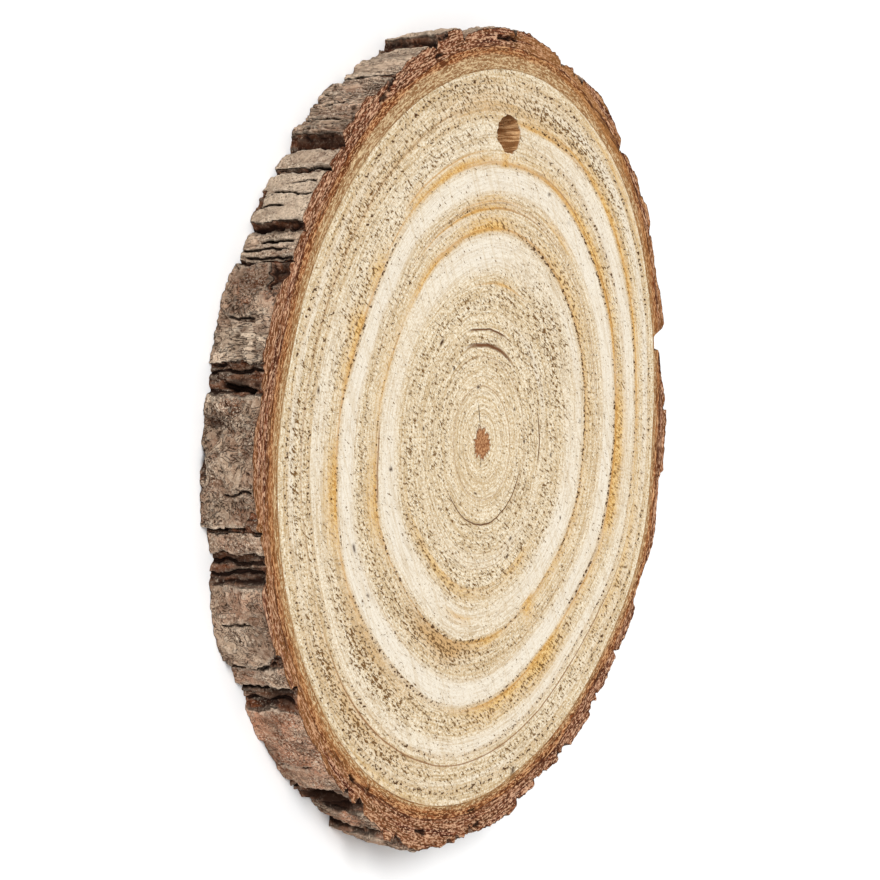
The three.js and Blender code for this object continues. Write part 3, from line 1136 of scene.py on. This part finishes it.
class Shader:
    """Adds nodes to a new material, so that a material reads as a list of steps."""

    def __init__(self, name):
        self.material = bpy.data.materials.new(name)
        self.material.use_nodes = True
        self.tree = self.material.node_tree
        self.tree.nodes.clear()

    def node(self, kind, inputs=None, **settings):
        node = self.tree.nodes.new(kind)
        for key, value in settings.items():
            setattr(node, key, value)
        for key, value in (inputs or {}).items():
            self.put(node.inputs[key], value)
        return node

    def put(self, socket, value):
        if isinstance(value, bpy.types.NodeSocket):
            self.tree.links.new(value, socket)
        else:
            socket.default_value = value

    def maths(self, operation, a, b=0.0, clamp=False):
        node = self.node("ShaderNodeMath", {0: a, 1: b}, operation=operation)
        node.use_clamp = clamp
        return node.outputs[0]

    def times(self, a, b, clamp=False):
        return self.maths("MULTIPLY", a, b, clamp)

    def plus(self, a, b):
        return self.maths("ADD", a, b)

    def minus(self, a, b):
        return self.maths("SUBTRACT", a, b)

    def distance(self, a, b):
        return self.maths("ABSOLUTE", self.minus(a, b))

    def attribute(self, name):
        return self.node("ShaderNodeAttribute", attribute_name=name).outputs["Fac"]

    def position(self):
        return self.node("ShaderNodeTexCoord").outputs["Object"]

    def split(self, vector):
        return self.node("ShaderNodeSeparateXYZ", {0: vector}).outputs

    def join(self, x, y, z):
        return self.node("ShaderNodeCombineXYZ", {0: x, 1: y, 2: z}).outputs[0]

    def vector(self, operation, a, b=(0.0, 0.0, 0.0), c=(0.0, 0.0, 0.0)):
        return self.node("ShaderNodeVectorMath", {0: a, 1: b, 2: c}, operation=operation).outputs

    def turned(self, vector, degrees):
        """The vector turned about Z."""
        inputs = {"Vector": vector, "Angle": math.radians(degrees)}
        return self.node("ShaderNodeVectorRotate", inputs, rotation_type="Z_AXIS").outputs[0]

    def stretched(self, vector, x, y, z):
        return self.vector("MULTIPLY", vector, (x, y, z))[0]

    def along_rings(self, place, ring, across, along):
        """Coordinates for noise that is drawn out along the rings."""
        x, y, _ = self.split(place)
        return self.join(self.times(ring, across), self.times(x, along), self.times(y, along))

    def noise(self, vector, scale, detail=2.0, roughness=0.5, distortion=0.0):
        inputs = {
            "Vector": vector, "Scale": scale, "Detail": detail,
            "Roughness": roughness, "Distortion": distortion,
        }
        return self.node("ShaderNodeTexNoise", inputs).outputs["Fac"]

    def step(self, value, low, high):
        """0 below low, 1 above high, smooth between."""
        inputs = {"Value": value, "From Min": low, "From Max": high}
        return self.node("ShaderNodeMapRange", inputs, interpolation_type="SMOOTHSTEP").outputs[0]

    def spread(self, value, low, high):
        """A value from 0..1 spread over low..high."""
        inputs = {"Value": value, "To Min": low, "To Max": high}
        return self.node("ShaderNodeMapRange", inputs).outputs[0]

    def mix(self, share, a, b):
        """The first colour at a share of 0 and the second at 1."""
        node = self.node("ShaderNodeMix", data_type="RGBA")
        for socket, value in zip((node.inputs[0], node.inputs[6], node.inputs[7]), (share, a, b)):
            self.put(socket, value)
        return node.outputs[2]

    def bump(self, height, distance, strength=1.0):
        inputs = {"Height": height, "Distance": distance, "Strength": strength}
        return self.node("ShaderNodeBump", inputs).outputs[0]

    def finish(self, colour, roughness, normal, specular):
        shader = self.node("ShaderNodeBsdfPrincipled", {
            "Base Color": colour, "Roughness": roughness, "Normal": normal,
            "Specular IOR Level": specular,
        })
        output = self.node("ShaderNodeOutputMaterial")
        self.tree.links.new(shader.outputs[0], output.inputs[0])
        return self.material


def tone(red, green, blue):
    """The colour of a surface that shows with these screen values, 0 to 255, in the light of the stage."""
    linear = []
    for channel in (red, green, blue):
        share = channel / 255
        value = share / 12.92 if share <= 0.04045 else ((share + 0.055) / 1.055) ** 2.4
        linear.append(value / STAGE_LIGHT)
    return (*linear, 1.0)


CREAM_DARK = tone(202, 173, 130)
CREAM = tone(238, 217, 182)
CREAM_LIGHT = tone(255, 244, 220)
WHITISH = tone(246, 236, 218)
WHITISH_DARK = tone(226, 208, 182)
STREAK = tone(200, 170, 122)
GOLD_LIGHT = tone(242, 206, 142)
GOLD = tone(222, 172, 94)
GOLD_DARK = tone(172, 114, 48)
GOLD_LINE = tone(206, 148, 72)
STAIN_BROWN = tone(214, 174, 122)
STAIN_DARK = tone(136, 100, 58)
LINE_BROWN = tone(146, 102, 66)
ROW_SHADE = tone(196, 158, 106)
DOT_BROWN = tone(88, 56, 26)
SPECK_BROWN = tone(124, 88, 48)
TORN_SHADE = tone(172, 142, 98)
CRACK_BROWN = tone(120, 78, 48)
KNOT_BROWN = tone(74, 46, 24)
PITH_BROWN = tone(146, 92, 56)
PITH_LIGHT = tone(206, 154, 108)
BORE_DARK = tone(154, 106, 64)
BORE_LIGHT = tone(236, 190, 138)

SKIN_PALE = tone(232, 209, 182)
SKIN_DARK = tone(118, 88, 66)
SKIN_RED = tone(210, 142, 106)
SKIN_LOW = tone(108, 72, 50)
SKIN_HIGH = tone(220, 196, 168)
SKIN_SHADE = tone(90, 60, 42)
SKIN_STREAK = tone(104, 76, 56)
# The light grit colour is also the painted highlight on ridges.
GRIT_AND_HIGHLIGHT_LIGHT = tone(246, 226, 202)
# The dark grit colour is also the painted shade at the foot of each scale.
GRIT_AND_SHADE_DARK = tone(44, 26, 16)
# The darkest torn layer, also used for the painted shadow in the dark patches.
UNDER_DARK_AND_SHADOW = tone(46, 26, 16)
UNDER_LIGHT = tone(104, 70, 50)
UNDER_RED = tone(128, 72, 42)
# Near black: painted shade in crevices and hollows, and the dark of cracks.
CRACK_AND_SHADE_DARK = tone(30, 16, 10)
INNER_RED = tone(144, 84, 58)
INNER_DARK = tone(70, 32, 18)
INNER_LIGHT = tone(240, 194, 158)
INNER_SEAM = tone(72, 34, 20)
RUST = tone(162, 94, 54)
RUST_DARK = tone(88, 42, 18)
RUST_LIGHT = tone(236, 184, 132)
PHLOEM_GOLD = tone(188, 132, 74)
PHLOEM_TAN = tone(200, 166, 124)
PHLOEM_DARK = tone(158, 114, 72)
PHLOEM_LIGHT = tone(240, 214, 170)
PHLOEM_EDGE = tone(112, 84, 48)


class WoodNoise:
    """The patterns the end grain is made of."""

    def __init__(self, s):
        self.place = s.position()
        self.ring = s.attribute("ring")
        self.flat = s.stretched(self.place, 1, 1, 0)
        self.heading = s.vector("NORMALIZE", self.flat)[0]
        self.streaks = s.noise(s.along_rings(self.place, self.ring, 150, 75), 1.0, 3.0, 0.6)
        self.fine_streaks = s.noise(s.along_rings(self.place, self.ring, 230, 300), 1.0, 2.0, 0.65)
        self.stretches = s.noise(s.along_rings(self.place, self.ring, 26, 60), 1.0, 2.0, 0.6)
        outwards = s.stretched(self.place, 60, 60, 0)
        ray_place = s.vector("MULTIPLY_ADD", self.heading, (240.0, 240.0, 0.0), outwards)[0]
        self.rays = s.noise(ray_place, 1.0, 2.0, 0.6)
        self.grain = s.noise(s.stretched(self.place, 0.7, 1, 1), 2900.0, 2.0, 0.75)
        self.tufts = s.noise(s.stretched(s.turned(self.place, 25), 0.42, 1, 1), 2700.0, 2.0, 0.7)
        self.dots = s.noise(s.stretched(self.place, 0.55, 1, 1), 2200.0, 2.0, 0.6)
        self.blotches = s.noise(self.place, 90.0, 3.0, 0.55)
        self.patches = s.noise(self.place, 420.0, 3.0, 0.6)
        self.saw_marks = s.noise(s.stretched(s.turned(self.place, 64), 0.05, 1, 1), 1500.0, 2.0, 0.6)


def strongest(s, masks):
    """The highest of a list of values."""
    total = masks[0]
    for mask in masks[1:]:
        total = s.maths("MAXIMUM", total, mask)
    return total


def weighted(s, parts):
    """The sum of a list of values, each times its weight."""
    total = None
    for value, weight in parts:
        part = s.times(value, weight)
        total = part if total is None else s.plus(total, part)
    return total


def ring_line(s, wood, at, thickness):
    """1 on a thin line along a ring, 0 away from it."""
    drawn = s.plus(wood.ring, s.times(wood.streaks, LINE_WANDER))
    off = s.distance(drawn, at + LINE_WANDER / 2)
    return s.step(off, 1.1 * thickness, 0.3 * thickness)


def ring_stretch(s, wood, centre, half):
    """1 on the stretch of the rings within half degrees of the centre angle, fading at its ends."""
    towards = (math.cos(math.radians(centre)), math.sin(math.radians(centre)), 0.0)
    facing = s.vector("DOT_PRODUCT", wood.heading, towards)["Value"]
    fade = 4 if half < 20 else 12
    low = math.cos(math.radians(min(180, half + fade)))
    high = math.cos(math.radians(max(0, half - fade)))
    return s.step(facing, low, high)


def drawn_lines(s, wood, rows):
    """The strongest of a table of ring lines."""
    masks = []
    for at, thickness, strength, centre, half in rows:
        mask = s.times(ring_line(s, wood, at, thickness), strength)
        if half < 180:
            mask = s.times(mask, ring_stretch(s, wood, centre, half))
        masks.append(mask)
    return strongest(s, masks)


def clean_wood_colour(s, wood):
    """Cream wood with whitish bands, fine streaks along the rings and faint rays across them."""
    pale = s.times(s.attribute("pale"), s.spread(wood.blotches, 1.3, 0.7), clamp=True)
    cream = s.mix(s.step(wood.grain, 0.50, 0.38), CREAM, CREAM_DARK)
    cream = s.mix(s.step(wood.grain, 0.50, 0.62), cream, CREAM_LIGHT)
    white = s.mix(s.times(s.step(wood.grain, 0.48, 0.36), 0.6), WHITISH, WHITISH_DARK)
    colour = s.mix(pale, cream, white)
    dark_streak = s.times(s.step(wood.streaks, 0.50, 0.66), s.spread(pale, 0.60, 0.22))
    colour = s.mix(dark_streak, colour, STREAK)
    light_streak = s.times(s.step(wood.streaks, 0.50, 0.36), s.spread(pale, 0.40, 0.20))
    colour = s.mix(light_streak, colour, CREAM_LIGHT)
    thin = s.times(s.step(wood.fine_streaks, 0.51, 0.64), s.spread(pale, 0.55, 0.20))
    colour = s.mix(thin, colour, TORN_SHADE)
    colour = s.mix(s.times(s.step(wood.rays, 0.52, 0.66), 0.30), colour, CREAM_LIGHT)
    return s.mix(s.times(s.step(wood.saw_marks, 0.54, 0.64), 0.25), colour, STREAK)


def stained_colour(s, wood, colour):
    """Adds the golden and the brown stains, patchy and streaky."""
    uneven = s.times(s.spread(wood.patches, 0.3, 2.4), s.spread(wood.streaks, 0.3, 1.9))
    gold = s.mix(s.step(wood.tufts, 0.44, 0.54), GOLD_LIGHT, GOLD)
    gold = s.mix(s.times(s.step(wood.grain, 0.52, 0.62), 0.8), gold, GOLD_DARK)
    colour = s.mix(s.times(s.attribute("stain"), uneven, clamp=True), colour, gold)
    brown = s.mix(s.times(s.step(wood.tufts, 0.48, 0.58), 0.7), STAIN_BROWN, STAIN_DARK)
    return s.mix(s.times(s.attribute("brown"), uneven, clamp=True), colour, brown)


def torn_marks(s, wood, rows_of_dots):
    """How much each point is shaded by torn fibres, and how dark the specks between them are."""
    torn = s.times(s.attribute("torn"), s.spread(wood.patches, 0.3, 1.8))
    shade = s.times(s.step(wood.tufts, 0.50, 0.60), s.spread(torn, 0.08, 0.90))
    limit = s.spread(torn, 0.655, 0.505)
    specks = s.times(s.minus(wood.tufts, limit), 16.0, clamp=True)
    limit = s.spread(rows_of_dots, 0.76, 0.49)
    dots = s.times(s.minus(wood.dots, limit), 12.0, clamp=True)
    return shade, specks, dots


def wood_material():
    """End grain: rings, stains, torn specks, fine lines, cracks, the pith and the wall of the hole."""
    s = Shader("sawn_wood")
    wood = WoodNoise(s)
    colour = clean_wood_colour(s, wood)
    colour = stained_colour(s, wood, colour)
    gold_lines = s.times(drawn_lines(s, wood, GOLD_LINES), s.step(wood.stretches, 0.30, 0.50))
    colour = s.mix(s.times(gold_lines, 0.8), colour, GOLD_LINE)
    rows_of_dots = drawn_lines(s, wood, DOT_ROWS)
    rows_of_dots = s.times(rows_of_dots, s.step(wood.stretches, 0.30, 0.48))
    shade, specks, dots = torn_marks(s, wood, rows_of_dots)
    colour = s.mix(shade, colour, TORN_SHADE)
    colour = s.mix(s.times(rows_of_dots, 0.40), colour, ROW_SHADE)
    colour = s.mix(specks, colour, SPECK_BROWN)
    colour = s.mix(dots, colour, DOT_BROWN)
    colour = s.mix(drawn_lines(s, wood, RING_LINES), colour, LINE_BROWN)
    cracks = drawn_lines(s, wood, RING_CRACKS)
    colour = s.mix(cracks, colour, CRACK_BROWN)
    colour = s.mix(s.attribute("knot"), colour, KNOT_BROWN)
    colour, pith = add_pith(s, wood, colour)
    colour = add_bore_and_rind(s, wood, colour)
    height = weighted(s, [
        (wood.grain, 0.5), (wood.fine_streaks, 0.4), (shade, -0.6), (specks, -0.6),
        (dots, -0.8), (cracks, -1.6), (pith, -0.8),
    ])
    normal = s.bump(height, WOOD_BUMP, 0.8)
    return s.finish(colour, s.spread(wood.grain, 0.7, 0.9), normal, WOOD_SHINE)


def add_pith(s, wood, colour):
    """Adds the small brown star at the centre of the rings, and gives where it is."""
    reach = s.vector("LENGTH", wood.flat)["Value"]
    star = s.noise(s.stretched(wood.heading, 4.2, 4.2, 0), 1.0, 2.0, 0.5)
    pith_edge = s.times(s.spread(star, 0.25, 1.80), PITH_RADIUS * METRE)
    inwards = s.minus(pith_edge, reach)
    pith = s.step(inwards, -0.0001, 0.0002)
    colour = s.mix(pith, colour, s.mix(s.step(wood.grain, 0.42, 0.62), PITH_BROWN, PITH_LIGHT))
    pith_rim = s.step(s.maths("ABSOLUTE", inwards), 0.0003, 0.0)
    return s.mix(s.times(pith_rim, 0.55), colour, CRACK_BROWN), pith


def add_bore_and_rind(s, wood, colour):
    """Colours the wall of the hole, and the tan tufts of bark at the wood's edge."""
    fibres = s.noise(s.stretched(wood.place, 0.12, 1, 0.12), 2400.0, 2.0, 0.6)
    wall = s.mix(s.step(fibres, 0.42, 0.62), BORE_DARK, BORE_LIGHT)
    colour = s.mix(s.attribute("bore"), colour, wall)
    rind = s.plus(wood.ring, s.times(wood.streaks, 0.03))
    rind = s.times(s.step(rind, 1.003, 1.018), s.step(wood.tufts, 0.40, 0.56))
    return s.mix(s.times(rind, 0.8), colour, PHLOEM_TAN)


def scale_edge(s, field, level, width):
    """A step in the bark's skin: 1 on its high side, and 1 on the shaded line at its foot."""
    high = s.step(field, level, level + 0.25 * width)
    foot = s.times(s.step(field, level - width, level), s.minus(1.0, high))
    return high, foot


def bark_skin(s, place, grain):
    """The outer skin: overlapping scales with painted shade along their feet, wrinkles along the trunk and
    grit. Gives colour and height.
    """
    light = s.attribute("light")
    flaky = s.attribute("flaky")
    patches = s.noise(place, 300.0, 3.0, 0.6)
    wrinkled = s.times(s.step(light, 0.60, 0.75), s.step(flaky, 0.40, 0.50))
    round_field = s.noise(place, 330.0, 4.0, 0.6, 0.5)
    long_field = s.noise(s.stretched(place, 1, 1, 0.22), 520.0, 4.0, 0.55, 0.4)
    field = s.plus(s.times(long_field, wrinkled), s.times(round_field, s.minus(1.0, wrinkled)))
    edges = [scale_edge(s, field, level, SCALE_FOOT) for level in SCALE_LEVELS]
    height = weighted(s, [(high, 1.0) for high, _ in edges])
    lines = strongest(s, [foot for _, foot in edges])
    lines = s.times(lines, s.step(patches, 0.36, 0.50))
    lines = s.times(lines, s.spread(flaky, 0.0, 1.4), clamp=True)
    grit = s.spread(s.step(s.noise(place, 200.0, 2.0, 0.5), 0.40, 0.60), 0.25, 1.0)

    scale = s.attribute("scale")
    colour = s.mix(light, SKIN_DARK, SKIN_PALE)
    colour = s.mix(s.times(s.attribute("red"), 0.85), colour, SKIN_RED)
    colour = s.mix(s.times(s.step(scale, 0.52, 0.30), 0.6), colour, SKIN_LOW)
    colour = s.mix(s.times(s.step(scale, 0.50, 0.75), 0.3), colour, SKIN_HIGH)
    shaded = s.times(s.step(patches, 0.50, 0.62), s.spread(flaky, 0.12, 0.85))
    colour = s.mix(shaded, colour, SKIN_SHADE)
    streaks = s.noise(s.stretched(place, 1, 1, 0.14), 1900.0, 3.0, 0.65)
    streaked = s.times(s.step(streaks, 0.50, 0.64), s.spread(wrinkled, 0.12, 0.65))
    colour = s.mix(streaked, colour, SKIN_STREAK)
    colour = s.mix(s.times(s.step(height, 1.0, 3.5), 0.35), colour, SKIN_HIGH)
    light_grit = s.times(s.step(grain, 0.52, 0.64), s.times(grit, 0.8))
    colour = s.mix(light_grit, colour, GRIT_AND_HIGHLIGHT_LIGHT)
    dark_grit = s.times(s.step(grain, 0.47, 0.36), s.times(grit, 0.95))
    colour = s.mix(dark_grit, colour, GRIT_AND_SHADE_DARK)
    # Painted shade along the foot of each scale.
    colour = s.mix(s.times(lines, 0.85), colour, GRIT_AND_SHADE_DARK)
    height = s.plus(s.times(height, 1.2), s.times(grain, 2.0))
    height = s.minus(height, s.times(lines, 0.8))
    return colour, height


def bark_under_skin(s, place, grain):
    """The torn, darker layers in the grooves."""
    layers = s.noise(s.stretched(place, 1, 1, 0.16), 1100.0, 3.0, 0.65, 0.4)
    colour = s.mix(s.step(layers, 0.42, 0.60), UNDER_DARK_AND_SHADOW, UNDER_LIGHT)
    reddish = s.step(s.noise(s.stretched(place, 1, 1, 0.4), 600.0, 2.0, 0.5), 0.48, 0.60)
    colour = s.mix(s.times(reddish, 0.6), colour, UNDER_RED)
    colour = s.mix(s.times(s.step(grain, 0.53, 0.66), 0.3), colour, GRIT_AND_HIGHLIGHT_LIGHT)
    return s.mix(s.times(s.step(grain, 0.48, 0.38), 0.6), colour, UNDER_DARK_AND_SHADOW), layers


def fibrous(s, fibres, flecks, dark, middle, light):
    """A colour made of long fibres with short flecks between them."""
    colour = s.mix(s.step(fibres, 0.40, 0.54), dark, middle)
    colour = s.mix(s.times(s.step(fibres, 0.54, 0.64), 0.75), colour, light)
    colour = s.mix(s.times(s.step(flecks, 0.47, 0.41), 0.85), colour, dark)
    return s.mix(s.times(s.step(flecks, 0.53, 0.59), 0.80), colour, light)


def inner_bark(s, place):
    """The sawn end of the bark in long fibres: tan next to the wood, then rust, then pinkish brown."""
    from_wood = s.attribute("from_wood")
    fibres = s.noise(s.along_rings(place, from_wood, 3.4, 240), 1.0, 3.0, 0.65)
    flecks = s.noise(s.along_rings(place, from_wood, 4.0, 1300), 1.0, 2.0, 0.7)
    bands = s.noise(s.along_rings(place, from_wood, 0.9, 70), 1.0, 3.0, 0.6)
    wandering = s.plus(from_wood, s.spread(bands, -1.5, 1.5))
    beyond = s.minus(wandering, s.attribute("phloem"))

    colour = fibrous(s, fibres, flecks, INNER_DARK, INNER_RED, INNER_LIGHT)
    rust = fibrous(s, fibres, flecks, RUST_DARK, RUST, RUST_LIGHT)
    colour = s.mix(s.step(beyond, RUST_WIDTH + 0.4, RUST_WIDTH - 0.4), colour, rust)
    golden = s.times(s.attribute("golden"), s.step(bands, 0.36, 0.54))
    colour = s.mix(s.times(golden, 0.6), colour, PHLOEM_GOLD)
    tan = s.mix(s.attribute("tan"), PHLOEM_GOLD, PHLOEM_TAN)
    tan = fibrous(s, fibres, flecks, PHLOEM_DARK, tan, PHLOEM_LIGHT)
    colour = s.mix(s.times(s.step(beyond, 0.45, -0.45), 0.9), colour, tan)

    seam = s.step(s.distance(beyond, RUST_WIDTH), 0.22, 0.06)
    seam = s.times(seam, s.step(fibres, 0.62, 0.50))
    colour = s.mix(s.times(seam, 0.8), colour, INNER_SEAM)
    edge = s.times(s.step(from_wood, 0.35, 0.05), s.step(flecks, 0.42, 0.58))
    return s.mix(s.times(edge, 0.6), colour, PHLOEM_EDGE), fibres


def bark_material():
    """Outer skin on the rim and red, streaky inner bark where it is cut, with painted shade in crevices
    and hollows, painted shadow in part of the dark patches, and painted highlight on ridges.
    """
    s = Shader("bark")
    place = s.position()
    grain = s.noise(place, 3000.0, 3.0, 0.75)
    skin, skin_height = bark_skin(s, place, grain)
    under, layers = bark_under_skin(s, place, grain)
    inner, fibres = inner_bark(s, place)
    is_skin = s.step(s.attribute("skin"), 0.55, 0.9)
    outer = s.mix(is_skin, under, skin)
    # Painted highlight on ridges of the skin.
    outer = s.mix(s.times(s.attribute("ridge"), s.spread(is_skin, 0.12, 0.40)), outer, GRIT_AND_HIGHLIGHT_LIGHT)
    # Nearly black patches: partly dark bark, partly painted shadow in the gaps under overhanging plates.
    outer = s.mix(s.attribute("dark"), outer, UNDER_DARK_AND_SHADOW)
    cut = s.step(s.attribute("cut"), 0.35, 0.65)
    colour = s.mix(cut, outer, inner)
    # Painted shade in crevices and hollows.
    colour = s.mix(s.times(s.step(s.attribute("crevice"), 0.30, 1.0), 0.85), colour, CRACK_AND_SHADE_DARK)
    colour = s.mix(s.times(s.step(s.attribute("deep"), 0.25, 0.9), 0.9), colour, CRACK_AND_SHADE_DARK)
    crack = s.step(s.attribute("crack"), 0.50, 0.80)
    colour = s.mix(s.times(crack, 0.9), colour, CRACK_AND_SHADE_DARK)
    rim_height = s.plus(s.times(skin_height, is_skin), layers)
    cut_height = s.plus(grain, fibres)
    height = s.plus(s.times(rim_height, s.minus(1.0, cut)), s.times(cut_height, cut))
    height = s.minus(height, s.times(crack, 1.5))
    normal = s.bump(height, BARK_BUMP, 1.0)
    return s.finish(colour, s.spread(grain, 0.75, 0.95), normal, BARK_SHINE)


# ---------------------------------------------------------------------------------------- stage


def floor_material():
    """Plain, pale and matt."""
    s = Shader("floor")
    soft = s.noise(s.position(), 2.0, 1.0)
    normal = s.bump(soft, 0.0001, 0.1)
    return s.finish((0.92, 0.92, 0.92, 1.0), 0.9, normal, 0.0)


def make_floor():
    """A wide pale floor under the slice."""
    half = FLOOR_HALF_WIDTH
    mesh = bpy.data.meshes.new("floor")
    corners = [(-half, -half, 0), (half, -half, 0), (half, half, 0), (-half, half, 0)]
    mesh.from_pydata(corners, [], [(0, 1, 2, 3)])
    mesh.materials.append(floor_material())
    floor = bpy.data.objects.new("floor", mesh)
    bpy.context.scene.collection.objects.link(floor)
    floor.location.z = -FLOOR_DROP
    return floor


def add_light(name, direction, strength, spread):
    """A soft light from far away."""
    light = bpy.data.lights.new(name, "SUN")
    light.energy = strength
    light.angle = math.radians(spread)
    lamp = bpy.data.objects.new(name, light)
    bpy.context.scene.collection.objects.link(lamp)
    away = Vector(direction).normalized()
    lamp.location = away
    lamp.rotation_euler = away.to_track_quat("Z", "Y").to_euler()


def light_stage():
    """White surroundings, a soft key light from the upper left and a weaker fill."""
    world = bpy.data.worlds.new("studio")
    world.use_nodes = True
    background = world.node_tree.nodes["Background"]
    background.inputs["Color"].default_value = (1.0, 1.0, 1.0, 1.0)
    background.inputs["Strength"].default_value = WORLD_STRENGTH
    bpy.context.scene.world = world
    add_light("key", *KEY_LIGHT)
    add_light("fill", *FILL_LIGHT)
    bpy.context.scene.view_settings.view_transform = "Standard"


# The camera looks down on the slice's face from its -X side, with +Y up in the picture.
CAMERA_RISE = 30
CAMERA_DISTANCE = 0.660
CAMERA_LENS = 183.3
AIM_RIGHT = -0.00619
AIM_UP = 0.00044


def add_camera():
    """A long lens aimed at the slice."""
    rise = math.radians(CAMERA_RISE)
    back = Vector((-math.cos(rise), 0, math.sin(rise)))
    up = Vector((0, 1, 0))
    right = up.cross(back)
    place = Vector((0, 0, SLICE_TOP * METRE)) + back * CAMERA_DISTANCE + right * AIM_RIGHT + up * AIM_UP
    data = bpy.data.cameras.new("camera")
    data.lens = CAMERA_LENS
    data.sensor_width = 36
    camera = bpy.data.objects.new("camera", data)
    bpy.context.scene.collection.objects.link(camera)
    turn = Matrix((right, up, back)).transposed().to_4x4()
    camera.matrix_world = Matrix.Translation(place) @ turn
    bpy.context.scene.camera = camera


add_camera()
light_stage()
make_floor()

wood = make_wood()
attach(wood, "root")
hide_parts(SLICE)

bark = make_bark()
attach(bark, "root")
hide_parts(SLICE)
